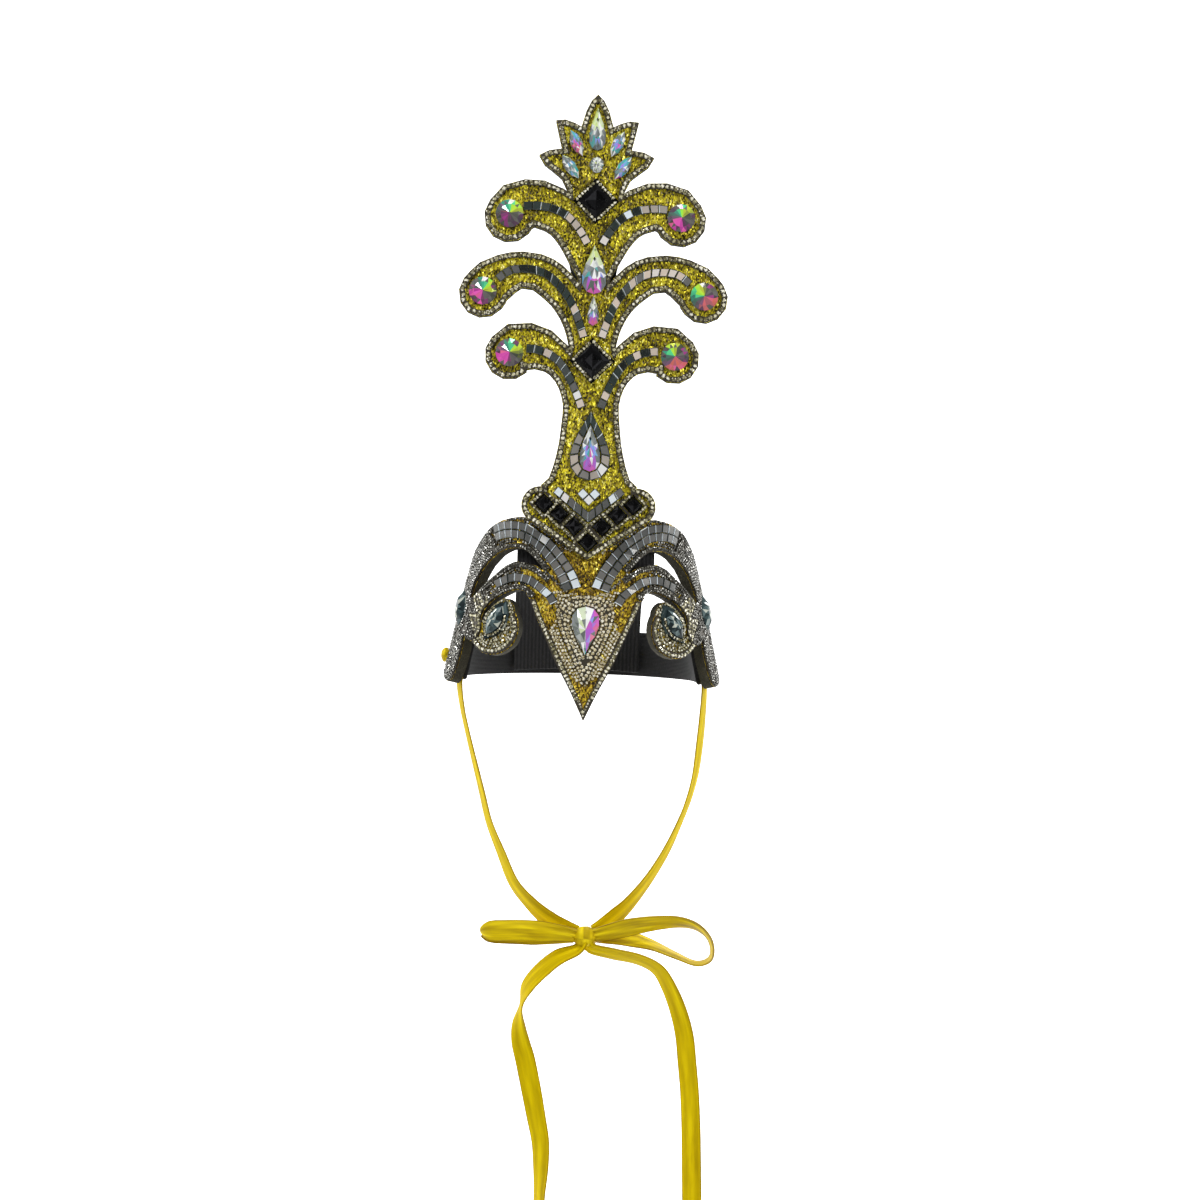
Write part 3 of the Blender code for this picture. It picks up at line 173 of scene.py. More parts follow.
class Paint:
    """A material whose shader is named by its sockets."""

    def __init__(self, name, **constants):
        self.material = bpy.data.materials.new(name)
        self.material.use_nodes = True
        self.tree = self.material.node_tree
        self.shader = self.tree.nodes["Principled BSDF"]
        for socket, value in constants.items():
            self.set(socket.replace("_", " "), value)

    def feed(self, target, value):
        if isinstance(value, Wire):
            self.tree.links.new(value.socket, target)
        else:
            target.default_value = value

    def set(self, socket, value):
        self.feed(self.shader.inputs[socket], value)

    def node(self, kind, settings=None, values=None, output=0):
        made = self.tree.nodes.new(kind)
        for setting, value in (settings or {}).items():
            setattr(made, setting, value)
        for socket, value in (values or {}).items():
            self.feed(made.inputs[socket], value)
        return Wire(self, made.outputs[output])

    def ramp(self, value, stops):
        """Colours at positions, for a value from 0 to 1."""
        made = self.tree.nodes.new("ShaderNodeValToRGB")
        steps = made.color_ramp.elements
        steps.remove(steps[1])
        steps[0].position, steps[0].color = stops[0][0], (*stops[0][1], 1.0)
        for place, colour in stops[1:]:
            steps.new(place).color = (*colour, 1.0)
        self.feed(made.inputs["Fac"], value)
        return Wire(self, made.outputs[0])

    def place(self):
        return self.node("ShaderNodeTexCoord", output="Object")

    def attribute(self, name):
        return self.node("ShaderNodeAttribute", {"attribute_name": name}, output="Fac")

    def part(self, vector, axis="X"):
        return self.node("ShaderNodeSeparateXYZ", None, {0: vector}, axis)

    def vector(self, operation, *values):
        return self.node("ShaderNodeVectorMath", {"operation": operation}, dict(enumerate(values)))

    def bump(self, height, strength, distance):
        return self.node("ShaderNodeBump", None,
                         {"Height": height, "Strength": strength, "Distance": distance})

    def noise(self, scale, detail, vector=None):
        return self.node("ShaderNodeTexNoise", None,
                         {"Scale": scale, "Detail": detail, "Vector": vector or self.place()})


print("paint box ready")

# %% [markdown]
# ## Glitter cloth
#
# Glitter is thousands of small foil flakes glued flat on a cloth, each turned a little differently. A Voronoi
# pattern gives every flake its own cell. The cell's colour decides how bright the flake is, which is a painted
# glint or painted shade in the base colour, and also tips its normal, so that some flakes catch a lamp while
# their neighbours stay dark. Coarser patches over it stand for thin spots where the olive ground shows
# through.

# %% Glitter paint
def glitter(name, tones, flake, lean):
    """Foil flakes on cloth. Flake is the size of one in metres, and lean tips the rows that they lie in."""
    paint = Paint(name, Roughness=0.38, Metallic=0.45, Specular_IOR_Level=0.4)
    streaks = paint.node("ShaderNodeMapping", None, {"Vector": paint.place(), "Rotation": (0.0, lean, 0.0),
                                                      "Scale": (1.0, 1.0, 0.62)})
    fine = paint.node("ShaderNodeTexVoronoi", None, {"Vector": streaks, "Scale": 1.0 / flake}, "Color")
    coarse = paint.node("ShaderNodeTexVoronoi", None, {"Vector": streaks, "Scale": 0.48 / flake}, "Color")
    patch = paint.noise(140.0, 3.0)
    wide = paint.noise(48.0, 1.0)
    fine_tone = paint.node("ShaderNodeSeparateColor", None, {0: fine})
    coarse_tone = paint.node("ShaderNodeSeparateColor", None, {0: coarse})
    # Painted glint and shade: each flake's tone picks a base colour from near black to near white.
    tone = fine_tone * 0.58 + coarse_tone * 0.18 + patch * 0.30 + wide * 0.50 - 0.26
    paint.set("Base Color", paint.ramp(tone, tones))
    plain = paint.node("ShaderNodeNewGeometry", output="Normal")
    tip = paint.vector("MULTIPLY", paint.vector("SUBTRACT", fine, (0.5, 0.5, 0.5)), (1.1, 1.1, 1.1))
    paint.set("Normal", paint.vector("NORMALIZE", paint.vector("ADD", plain, tip)))
    return paint.material


# Flake colours from painted shade at the dark end to painted glint at the light end.
YELLOW_GLINT_TONES = [
    (0.20, (0.022, 0.017, 0.002)), (0.36, (0.085, 0.064, 0.003)), (0.50, (0.25, 0.195, 0.005)),
    (0.64, (0.48, 0.39, 0.008)), (0.78, (0.82, 0.70, 0.02)), (0.90, (1.0, 0.93, 0.20)),
    (1.0, (1.0, 0.97, 0.60)),
]
AMBER_GLINT_TONES = [
    (0.20, (0.024, 0.015, 0.002)), (0.36, (0.085, 0.050, 0.004)), (0.50, (0.23, 0.140, 0.006)),
    (0.64, (0.44, 0.285, 0.009)), (0.78, (0.74, 0.53, 0.02)), (0.90, (1.0, 0.84, 0.16)),
    (1.0, (1.0, 0.95, 0.60)),
]
yellow_glitter = glitter("yellow_glitter", YELLOW_GLINT_TONES, 0.00066, 0.30)
amber_glitter = glitter("amber_glitter", AMBER_GLINT_TONES, 0.00064, -0.35)
print("glitter tones", len(YELLOW_GLINT_TONES))

# %% [markdown]
# ## Foam, felt, straps and satin
#
# Foam's cut edges are dark olive and slightly porous. The straps are black woven elastic: fine ribs run along
# them and the two selvedges are thicker. Satin is smooth along its length with faint cross ribs. Where the
# ribbon was creased its colour is painted lighter and darker in soft bands, a painted sheen and painted shade,
# and its roughness and bumps follow the same bands, so it reads the ribbon's own UV map: across and along. Its
# colour is also darker along both edges. The lengths that hang straight are less creased than the bow: their
# painted sheen and shade are weaker.

# %% Plain finishes
def foam(name, dark, light):
    paint = Paint(name, Roughness=0.86, Specular_IOR_Level=0.25)
    cells = paint.node("ShaderNodeTexVoronoi", None, {"Vector": paint.place(), "Scale": 1500.0})
    patch = paint.noise(90.0, 4.0)
    paint.set("Base Color", paint.ramp(patch * 0.7 + cells * 0.5, [(0.25, dark), (0.85, light)]))
    paint.set("Normal", paint.bump(cells, 0.5, 0.0004))
    return paint.material


def elastic(name):
    paint = Paint(name, Roughness=0.78, Specular_IOR_Level=0.3)
    across = paint.part(paint.node("ShaderNodeUVMap"))
    ribs = (across * (math.tau * 34)).wave()
    fibre = paint.noise(900.0, 3.0)
    paint.set("Base Color", paint.ramp(ribs * 0.22 + fibre * 0.8, [(0.2, (0.003, 0.003, 0.003)),
                                                                   (0.9, (0.022, 0.022, 0.023))]))
    paint.set("Normal", paint.bump(ribs * 0.5 + fibre * 0.6, 0.6, 0.0004))
    return paint.material


def satin(name, contrast, level, shine):
    """Satin whose creases paint sheen and shade into its colour, by a contrast round a level."""
    paint = Paint(name, Specular_IOR_Level=shine, Anisotropic=0.45)
    place = paint.node("ShaderNodeUVMap")
    across, along = paint.part(place), paint.part(place, "Y")
    stretch = paint.node("ShaderNodeMapping", None, {"Vector": place, "Scale": (3.0, 22.0, 1.0)})
    crease = paint.noise(1.0, 3.0, stretch)
    threads = (along * (math.tau * 1600)).wave()
    rim = (across - 0.5).size().above(0.455)
    # Painted sheen and shade: the crease noise lightens and darkens the colour in bands, and the rim darkens
    # both edges.
    tone = crease * contrast + threads * 0.045 + level - rim * 0.16
    paint.set("Base Color", paint.ramp(tone, [
        (0.20, (0.26, 0.160, 0.001)), (0.36, (0.46, 0.320, 0.001)), (0.50, (0.64, 0.470, 0.001)),
        (0.68, (0.92, 0.740, 0.006)),
    ]))
    paint.set("Roughness", 0.40 + crease * 0.18)
    paint.set("Normal", paint.bump(threads * 0.25 + crease * 1.2, 0.28, 0.0008))
    return paint.material


dark_foam = foam("dark_foam", (0.012, 0.011, 0.007), (0.055, 0.050, 0.030))
black_felt = foam("black_felt", (0.006, 0.006, 0.006), (0.022, 0.022, 0.021))
black_elastic = elastic("black_elastic")
yellow_satin = satin("yellow_satin", 1.15, -0.10, 0.13)
smooth_satin = satin("smooth_satin", 0.60, 0.17, 0.03)
print("plain finishes ready")

# %% [markdown]
# ## Glass, mirror and metal
#
# A cut stone shows a different piece of the room in every facet. Each facet therefore has a number of its
# own, stored on the mesh, and a ramp turns the number into the tone that the facet shows: the stone's own
# colour with a painted reflection, and painted glints at the light end. The coat on top gives the real
# reflections of the lamps.

# %% Glass finishes
# Ramps from painted shade to painted glint, for the painted reflections of the facets.
CRYSTAL_TONES = [
    (0.00, (0.018, 0.015, 0.006)), (0.22, (0.068, 0.060, 0.028)), (0.46, (0.18, 0.162, 0.080)),
    (0.66, (0.37, 0.34, 0.19)), (0.80, (0.68, 0.64, 0.42)), (0.92, (1.0, 0.97, 0.82)),
]
SMOKE_TONES = [
    (0.00, (0.008, 0.008, 0.006)), (0.30, (0.029, 0.028, 0.022)), (0.60, (0.076, 0.074, 0.060)),
    (0.78, (0.155, 0.150, 0.125)), (0.89, (0.46, 0.450, 0.39)), (0.96, (1.0, 0.99, 0.93)),
]
GOLDEN_TONES = [
    (0.00, (0.045, 0.033, 0.012)), (0.18, (0.16, 0.123, 0.050)), (0.38, (0.36, 0.295, 0.145)),
    (0.58, (0.62, 0.53, 0.31)), (0.74, (0.88, 0.80, 0.56)), (0.88, (1.0, 0.97, 0.82)),
]


def faceted(name, stops, roughness=0.10, metallic=0.25, coat=0.35, shine=0.5):
    paint = Paint(name, Roughness=roughness, Metallic=metallic, Coat_Weight=coat, Coat_Roughness=0.03,
                  Specular_IOR_Level=shine)
    paint.set("Base Color", paint.ramp(paint.attribute("facet"), stops))
    return paint.material


crystal = faceted("crystal", CRYSTAL_TONES)
smoke_crystal = faceted("smoke_crystal", SMOKE_TONES, 0.14, 0.2, 0.12, 0.35)
golden_crystal = faceted("golden_crystal", GOLDEN_TONES)
RAINBOW = [
    (0.00, (0.30, 0.78, 0.06)), (0.10, (0.62, 0.74, 0.05)), (0.20, (0.060, 0.070, 0.045)),
    (0.30, (0.16, 0.155, 0.14)), (0.40, (0.085, 0.060, 0.085)), (0.48, (0.52, 0.05, 0.34)),
    (0.56, (0.88, 0.12, 0.55)), (0.64, (0.74, 0.17, 0.13)), (0.72, (0.23, 0.12, 0.22)),
    (0.80, (0.10, 0.12, 0.11)), (0.90, (0.045, 0.33, 0.22)), (0.97, (0.10, 0.66, 0.26)),
]
rainbow_glass = faceted("rainbow_glass", RAINBOW, 0.08, 0.15, 0.15, 0.4)
PEARL = [
    (0.00, (0.66, 0.74, 0.08)), (0.11, (0.62, 0.76, 0.34)), (0.22, (0.74, 0.77, 0.76)),
    (0.31, (0.135, 0.16, 0.145)), (0.41, (0.26, 0.28, 0.30)), (0.50, (0.06, 0.46, 0.42)),
    (0.57, (0.26, 0.38, 0.84)), (0.67, (0.46, 0.14, 0.68)), (0.76, (0.72, 0.13, 0.48)),
    (0.84, (0.74, 0.20, 0.19)), (0.91, (0.13, 0.13, 0.13)), (0.97, (0.92, 0.93, 0.92)),
]
pearl_glass = faceted("pearl_glass", PEARL, 0.08, 0.1, 0.18, 0.4)
TEAL = [
    (0.00, (0.012, 0.022, 0.024)), (0.35, (0.045, 0.075, 0.078)), (0.65, (0.11, 0.16, 0.165)),
    (0.85, (0.20, 0.26, 0.26)), (0.97, (0.55, 0.58, 0.50)),
]
teal_glass = faceted("teal_glass", TEAL, 0.14, 0.1, 0.08, 0.28)
JET = [(0.00, (0.0012, 0.0012, 0.0014)), (0.70, (0.0045, 0.0045, 0.005)), (1.0, (0.020, 0.020, 0.022))]
jet_glass = faceted("jet_glass", JET, 0.22, 0.0, 0.02, 0.10)
MIRROR = [
    (0.00, (0.008, 0.010, 0.008)), (0.22, (0.036, 0.052, 0.046)), (0.45, (0.130, 0.132, 0.126)),
    (0.62, (0.32, 0.305, 0.28)), (0.80, (0.74, 0.62, 0.51)), (0.90, (0.92, 0.92, 0.90)),
    (0.97, (0.86, 0.95, 1.0)),
]
mirror_glass = faceted("mirror_glass", MIRROR, 0.14, 0.30, 0.22)
# Black for painted shade inside the sewing holes.
painted_hole_shade = Paint("painted_hole_shade", Base_Color=(0.004, 0.004, 0.004, 1.0), Roughness=0.7).material
print("glass finishes ready")

# %% [markdown]
# ## The room
#
# The headdress hangs in a plain studio: a wide bowl, wall and floor in one, modelled from a circle that is
# pulled up at its rim. Behind the headdress it is white and glows by its own emission, painted light that
# makes it as bright as a lit backdrop. Behind the camera it is grey and does not glow, so that mirrors and
# glass have something darker to reflect and the lamps stand out in them.

# %% Floor and wall
def deselect():
    if bpy.context.object and bpy.context.object.mode != "OBJECT":
        bpy.ops.object.mode_set(mode="OBJECT")
    bpy.ops.object.select_all(action="DESELECT")


deselect()
bpy.ops.mesh.primitive_circle_add(vertices=96, radius=2.6, fill_type="NGON", location=(0.0, 0.0, -0.62))
room = bpy.context.active_object
room.name = "room"
bpy.ops.object.mode_set(mode="EDIT")
for spread, rise in ((1.12, 0.10), (1.07, 0.30), (1.02, 0.60), (1.0, 1.6)):
    bpy.ops.mesh.extrude_region_move(TRANSFORM_OT_translate={"value": (0.0, 0.0, rise)})
    bpy.ops.transform.resize(value=(spread, spread, 1.0))
bpy.ops.mesh.delete(type="ONLY_FACE")
bpy.ops.object.mode_set(mode="OBJECT")
bpy.ops.object.transform_apply(location=True, rotation=True, scale=True)
# Painted light: the back of the room glows by emission, the front is grey and does not glow.
pale = Paint("glowing_room", Roughness=0.95, Specular_IOR_Level=0.0, Emission_Strength=1.0)
depth_of_room = pale.part(pale.place(), "Y") * 0.5 + 0.4
pale.set("Base Color", pale.ramp(depth_of_room, [(0.0, (0.30, 0.30, 0.30)), (0.55, (0.90, 0.90, 0.90))]))
pale.set("Emission Color", pale.ramp(depth_of_room, [(0.0, (0.0, 0.0, 0.0)), (0.55, (0.85, 0.85, 0.85))]))
room.data.materials.append(pale.material)
bpy.ops.object.shade_smooth_by_angle(angle=math.radians(60))
room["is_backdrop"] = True
print("room faces", len(room.data.polygons))

# %% [markdown]
# ## Reading the solids
#
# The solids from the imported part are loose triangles, so a copy is joined first. Chains and tiles are thin
# flat strips on the foam: their upper faces say where stones can sit, and the line round those faces says how
# far each stone stays from the edge. A few short functions that are needed again and again stand first.

# %% Small tools
JOIN = 0.00002


def pick(made):
    """Select one object and make it the active one."""
    deselect()
    made.select_set(True)
    bpy.context.view_layer.objects.active = made


def copy_of(name, label):
    """A copy of a solid, selected and active."""
    made = bpy.data.objects.new(label, nodes[name].data.copy())
    bpy.context.collection.objects.link(made)
    pick(made)
    return made


def join_corners():
    """Edit mode with everything selected and the corners of loose triangles joined."""
    bpy.ops.object.mode_set(mode="EDIT")
    bpy.ops.mesh.select_all(action="SELECT")
    bpy.ops.mesh.remove_doubles(threshold=JOIN)


def choose_faces(made, rule):
    """Select the faces that a rule picks, in edit mode."""
    bpy.ops.mesh.select_all(action="DESELECT")
    mesh = bmesh.from_edit_mesh(made.data)
    mesh.normal_update()
    for face in mesh.faces:
        face.select_set(rule(face))
    bmesh.update_edit_mesh(made.data)


def finish_with(made, *finishes):
    made.data.materials.clear()
    for finish in finishes:
        made.data.materials.append(finish)


def shifted(faces, first):
    """Faces whose corners are counted from a first number."""
    return [tuple(first + k for k in face) for face in faces]


def search_tree(spots):
    tree = KDTree(len(spots))
    for i, spot in enumerate(spots):
        tree.insert(spot, i)
    tree.balance()
    return tree


def one_tree(meshes):
    """One tree of the faces of several meshes, for the distance to them or a ray on them."""
    corners, polygons = [], []
    for mesh in meshes:
        polygons += shifted([p.vertices for p in mesh.polygons], len(corners))
        corners += [v.co.copy() for v in mesh.vertices]
    return BVHTree.FromPolygons(corners, polygons)


print("small tools ready")

# %% Which way is outwards
HEAD_Y = -0.044
HEAD_HALF = (0.0765, 0.052)
BENT = ("helmet", "upper_arm", "lower_arm", "shield", "volute", "side_stone")
UPPER_SLOPE = 0.6
LEVEL_SLOPE = 0.93


def outwards(name, point):
    """The way that a piece's upper side looks at a point: round the head, or straight ahead on the spire."""
    if not name.startswith(BENT):
        return Vector((0.0, -1.0, 0.0))
    level_way = Vector((math.copysign(1.0, point.x), 0.0, 0.0))
    if point.y < HEAD_Y:
        wide, long = HEAD_HALF
        level_way = Vector((point.x / wide ** 2, (point.y - HEAD_Y) / long ** 2, 0.0)).normalized()
    return (level_way + Vector((0.0, 0.0, 0.2))).normalized()


def facing(name, face):
    """How much a face of a solid looks outwards, from -1 to 1."""
    return face.normal.dot(outwards(name, face.calc_center_median()))


def joined(name):
    """A solid's mesh with its triangles joined."""
    mesh = bmesh.new()
    mesh.from_mesh(nodes[name].data)
    bmesh.ops.remove_doubles(mesh, verts=mesh.verts, dist=JOIN)
    mesh.normal_update()
    mesh.verts.ensure_lookup_table()
    mesh.verts.index_update()
    return mesh


def upper_faces(name, mesh):
    return [f for f in mesh.faces if facing(name, f) > UPPER_SLOPE]


shield_mesh = joined("shield_field")
upper = upper_faces("shield_field", shield_mesh)
print("shield field's upper faces", len(upper), "of", len(shield_mesh.faces))
shield_mesh.free()

# %% The line round a group of faces
SAMPLE_STEP = 0.0003


def rims(faces):
    """Closed lines round a group of faces, each a list of corner, next corner and the face's normal."""
    chosen = set(faces)
    following = {}
    for face in faces:
        for loop in face.loops:
            if sum(f in chosen for f in loop.edge.link_faces) == 1:
                following.setdefault(loop.vert, []).append((loop.link_loop_next.vert, face.normal.copy()))
    found = []
    while following:
        start = next(iter(following))
        line, here = [], start
        while here in following:
            there, normal = following[here].pop(0)
            if not following[here]:
                del following[here]
            line.append((here.co.copy(), there.co.copy(), normal))
            here = there
            if here == start:
                break
        found.append(line)
    return found


class Bed:
    """The upper side of a strip or field, ready to have stones laid on it."""

    def __init__(self, name, only=None):
        mesh = joined(name)
        faces = [f for f in upper_faces(name, mesh) if only is None or only(f)]
        corners = [v.co.copy() for v in mesh.verts]
        self.tree = BVHTree.FromPolygons(corners, [[v.index for v in f.verts] for f in faces])
        self.lines = rims(faces)
        self.area = sum(f.calc_area() for f in faces)
        self.samples = []
        for line in self.lines:
            traced = []
            for start, end, normal in line:
                way = end - start
                steps = max(1, round(way.length / SAMPLE_STEP))
                inwards = normal.cross(way.normalized())
                traced += [(start + way * (i / steps), inwards) for i in range(steps)]
            self.samples.append(traced)
        self.edge = search_tree([spot for traced in self.samples for spot, _ in traced])
        mesh.free()


bed = Bed("shield_field")
print("shield field", round(bed.area * 1e6), "mm2, rim of", sum(map(len, bed.samples)), "spots")

# %% [markdown]
# ## One rhinestone, set hundreds of times
#
# A rhinestone is a small cut stone with a flat table. It is modelled once from an eight-sided cylinder: its
# top is pulled up and in for the sloping facets. Rows of them then follow the strip's edge, as a jeweller
# sets them, and a stone is left out where it would touch one that is already there.

# %% The pattern stone
def take_up_top():
    """The new block or disc, with its place applied, in edit mode with its upper face selected."""
    made = bpy.context.active_object
    bpy.ops.object.transform_apply(location=True, rotation=True, scale=True)
    bpy.ops.object.mode_set(mode="EDIT")
    choose_faces(made, lambda face: face.normal.z > 0.9)
    return made


def pull_up(height, share):
    """Extrude what is selected, and narrow it to a share of its width."""
    bpy.ops.mesh.extrude_region_move(TRANSFORM_OT_translate={"value": (0.0, 0.0, height)})
    bpy.ops.transform.resize(value=(share, share, 1.0))


def pattern_mesh(made):
    """Corners, faces and slopes of a pattern, which is then put away.

    They are sorted by place, because an extrusion makes its faces in an order that changes from run to run.
    """
    deselect()
    corners = np.array([tuple(v.co) for v in made.data.vertices])
    order = sorted(range(len(corners)), key=lambda i: np.round(corners[i], 4).tolist())
    number = {old: new for new, old in enumerate(order)}
    found = []
    for polygon in made.data.polygons:
        face = [number[k] for k in polygon.vertices]
        first = face.index(min(face))
        found.append((sorted(face), face[first:] + face[:first], polygon.normal.z))
    found.sort()
    data = made.data
    bpy.data.objects.remove(made)
    bpy.data.meshes.remove(data)
    return corners[order], [tuple(face) for _, face, _ in found], np.array([slope for _, _, slope in found])


deselect()
bpy.ops.mesh.primitive_cylinder_add(vertices=8, radius=0.5, depth=0.34, location=(0.0, 0.0, 0.17))
gem = take_up_top()
pull_up(0.24, 0.56)
GEM_CORNERS, GEM_FACES, GEM_SLOPES = pattern_mesh(gem)
print("rhinestone faces", len(GEM_FACES))

# %% Rows of stones on a bed
STONE_TILT = math.radians(6.0)


def pave(bed, size, rows, depth=None, step=0.94):
    """Places for stones in rows that follow the rim, from the outside inwards."""
    taken, kept = {}, []
    first = depth or size * 0.52
    for row in range(rows):
        deep = first + row * size * step
        for traced in bed.samples:
            for spot, inwards in traced:
                place, normal, _, _ = bed.tree.find_nearest(spot + inwards * deep)
                cell = tuple(int(c // size) for c in place)
                if bed.edge.find(place)[2] < deep * 0.90:
                    continue
                near = (taken.get((cell[0] + a, cell[1] + b, cell[2] + c), ())
                        for a in (-1, 0, 1) for b in (-1, 0, 1) for c in (-1, 0, 1))
                if any((other - place).length < size * 0.97 for group in near for other in group):
                    continue
                taken.setdefault(cell, []).append(place)
                kept.append((place, normal, size))
    return kept


def fill(bed, size, kept, rows, keep_off=None):
    """Places for smaller stones in what the rows have left free."""
    there = search_tree([place for place, _, _ in kept])
    reach = (size + kept[0][2]) * 0.48
    found = []
    for place, normal, _ in pave(bed, size, rows, depth=size * 0.5, step=0.45):
        if there.find(place)[2] > reach and (keep_off is None or keep_off(place)):
            found.append((place, normal, size))
    return found


def add_piece(name, corners, polygons, finish, covers, facets=None):
    """A piece of the headdress from its corners and faces. Facets are the tones of its faces, painted
    reflections and glints.
    """
    mesh = bpy.data.meshes.new(name)
    mesh.from_pydata(np.asarray(corners).tolist(), [], polygons)
    if facets is not None:
        mesh.attributes.new("facet", "FLOAT", "FACE").data.foreach_set("value", np.asarray(facets, np.float32))
    mesh.materials.append(finish)
    mesh.update()
    made = bpy.data.objects.new(name, mesh)
    bpy.context.collection.objects.link(made)
    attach(made, "root")
    if covers:
        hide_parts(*covers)
    return made


def set_stones(label, places, finish, seed, covers=(), sink=0.0018, tones=(0.0, 1.0)):
    """A piece with one copy of the pattern stone at every place. Sink is how deep it sits in its bed."""
    rng = np.random.default_rng(seed)
    points, polygons, facets = [], [], []
    for number, (place, normal, size) in enumerate(places):
        turn = Vector((0, 0, 1)).rotation_difference(normal).to_matrix()
        turn = np.array(turn @ Matrix.Rotation(rng.uniform(-STONE_TILT, STONE_TILT), 3, "X")
                        @ Matrix.Rotation(rng.uniform(-STONE_TILT, STONE_TILT), 3, "Y")
                        @ Matrix.Rotation(rng.uniform(0, math.tau), 3, "Z"))
        points.append((GEM_CORNERS * size) @ turn.T + np.array(place - normal * sink))
        polygons += shifted(GEM_FACES, number * len(GEM_CORNERS))
        # Each face's tone is a painted reflection; the table is lifted toward the light end as a painted
        # highlight, and the girdle and base are darkened as painted shade.
        tone = rng.uniform(tones[0], tones[1], len(GEM_FACES))
        tone = np.where(GEM_SLOPES > 0.95, 0.35 + 0.65 * tone, tone)
        facets.append(np.where(GEM_SLOPES < 0.05, tone * 0.12, tone))
    add_piece(label, np.concatenate(points), polygons, finish, covers, np.concatenate(facets))
    print(label, len(places), "stones")


print("setting tools ready")

# %% [markdown]
# ## The backing of the chains
#
# Rhinestone chain has its stones in metal cups. From in front the cups and the shade between the stones show
# as dark lines, so each strip, and the shield's field as well, keeps a dark backing: a copy of its solid, with
# the upper side lowered below the stones' girdles. Its dark colour is partly the cups' metal and partly
# painted shade.

# %% Backing strips
def backing(name, lowered):
    made = copy_of(name, name + "_backing")
    mesh = joined(name)
    upper = {v.index for f in upper_faces(name, mesh) for v in f.verts}
    for vert in mesh.verts:
        if vert.index in upper:
            vert.co -= outwards(name, vert.co) * lowered
    mesh.to_mesh(made.data)
    mesh.free()
    finish_with(made, cups_and_painted_shade)
    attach(made, "root")


# Dark colour for the cups' metal and for painted shade between the stones.
cups_and_painted_shade = Paint("cups_and_painted_shade", Base_Color=(0.045, 0.038, 0.024, 1.0), Roughness=0.55, Metallic=0.35).material
BACKED = {"spire_border_chain": 0.0011, "chevron_frames": 0.0011, "helmet_chain_left": 0.0010,
          "helmet_chain_right": 0.0010, "shield_edge_chain": 0.0010, "shield_field": 0.0010}
for name, lowered in BACKED.items():
    backing(name, lowered)
print("backing strips", len(BACKED))

# %% [markdown]
# ## The spire's border
#
# A single chain of clear stones, about 2.6 mm each, runs round the whole spire. On the real piece it is a
# ready-made chain glued a little inside the foam's edge, so the stones stand close together and in one line.

# %% Border of the spire
border = Bed("spire_border_chain")
places = pave(border, 0.0026, rows=1, depth=0.00148)
places += fill(border, 0.0017, places, 3)
set_stones("spire_border", places, crystal, 11, ["spire_border_chain"])

# %% [markdown]
# ## Lines and fields of smaller stones
#
# The helmet's arms carry two rows of small stones along each edge, and the shield and the side bands are
# filled with rings of them, each ring inside the one before. The side bands look darker, because their stones
# are smoke coloured. The volutes' rims and the shield's edge have larger stones in one line.

# %% Chains of the helmet
def stones_on(name, label, size, small, finish, seed, rows=1, covers=True, tones=(0.0, 1.0), only=None,
              depth=None):
    """Cover a solid strip or field with stones. Small is the size of the stones that fill what is left."""
    bed = Bed(name, only)
    if depth == "middle":
        depth = bed.area / sum((end - start).length for line in bed.lines for start, end, _ in line)
    found = pave(bed, size, rows, depth)
    if small:
        found += fill(bed, small, found, 2 * rows + 3)
    set_stones(label, found, finish, seed, [name] if covers else [], size * 0.58 + 0.0003, tones)


def on_volute(face):
    middle = face.calc_center_median()
    return abs(middle.x) < 0.0655 and middle.z < 0.050


def off_volute(face):
    return not on_volute(face)


for number, side in enumerate(("left", "right")):
    chain = f"helmet_chain_{side}"
    stones_on(chain, f"arm_stones_{side}", 0.0016, 0.0013, smoke_crystal, 21 + number, 14, only=off_volute,
              tones=(0.0, 0.97))
    stones_on(chain, f"volute_stones_{side}", 0.0023, 0.0015, crystal, 25 + number, 5, False, only=on_volute)
stones_on("shield_edge_chain", "shield_edge", 0.0024, 0.0016, crystal, 31, tones=(0.1, 1.0), depth="middle")
stones_on("shield_field", "shield_stones", 0.0022, 0.0013, golden_crystal, 32, rows=12)
stones_on("chevron_frames", "chevron_stones", 0.0020, None, crystal, 33, rows=2, depth=0.0008)

# %% [markdown]
# ## Stones straight on the foam
#
# Between the chains the real helmet is paved by hand: rows of stones follow the foam's edge inwards until
# they meet the tiles, the chains or a large stone. Glitter cloth stays bare in four kinds of places: below
# the chevron, beside the shield, between the arms, and at the shield's point.

# %% Bare cloth and paved foam
BARE = [
    [(-9, 79), (9, 79), (6, 71), (1, 63), (-1, 63), (-6, 71)],
    [(-33, 58), (-26, 57), (-17, 47), (-14.5, 43), (-17, 38), (-21, 31), (-24, 35), (-29, 47)],
    [(-39, 67), (-31, 68.5), (-24, 65), (-20, 59), (-18, 53), (-22, 56.5), (-29, 63), (-35, 65.5)],
    [(-9, 8), (0, 1), (9, 8), (3, -5), (0, -11), (-3, -5)],
]


def inside(x, z, outline):
    crossed = False
    for (ax, az), (bx, bz) in zip(outline, outline[1:] + outline[:1]):
        if (az > z) != (bz > z) and x < ax + (bx - ax) * (z - az) / (bz - az):
            crossed = not crossed
    return crossed


def is_bare(place):
    return any(inside(sign * place.x * 1000, place.z * 1000, outline) for outline in BARE for sign in (-1, 1))


on_shell = [n for n in nodes if n.startswith(BENT) and n != "helmet_shell"] + ["spire_plate"]
taken_up = one_tree(nodes[name].data for name in on_shell)


def free(size):
    """A rule for places where a stone of this size touches no other piece and no bare cloth."""
    return lambda place: taken_up.find_nearest(place)[3] > max(size * 0.34, 0.00045) and not is_bare(place)


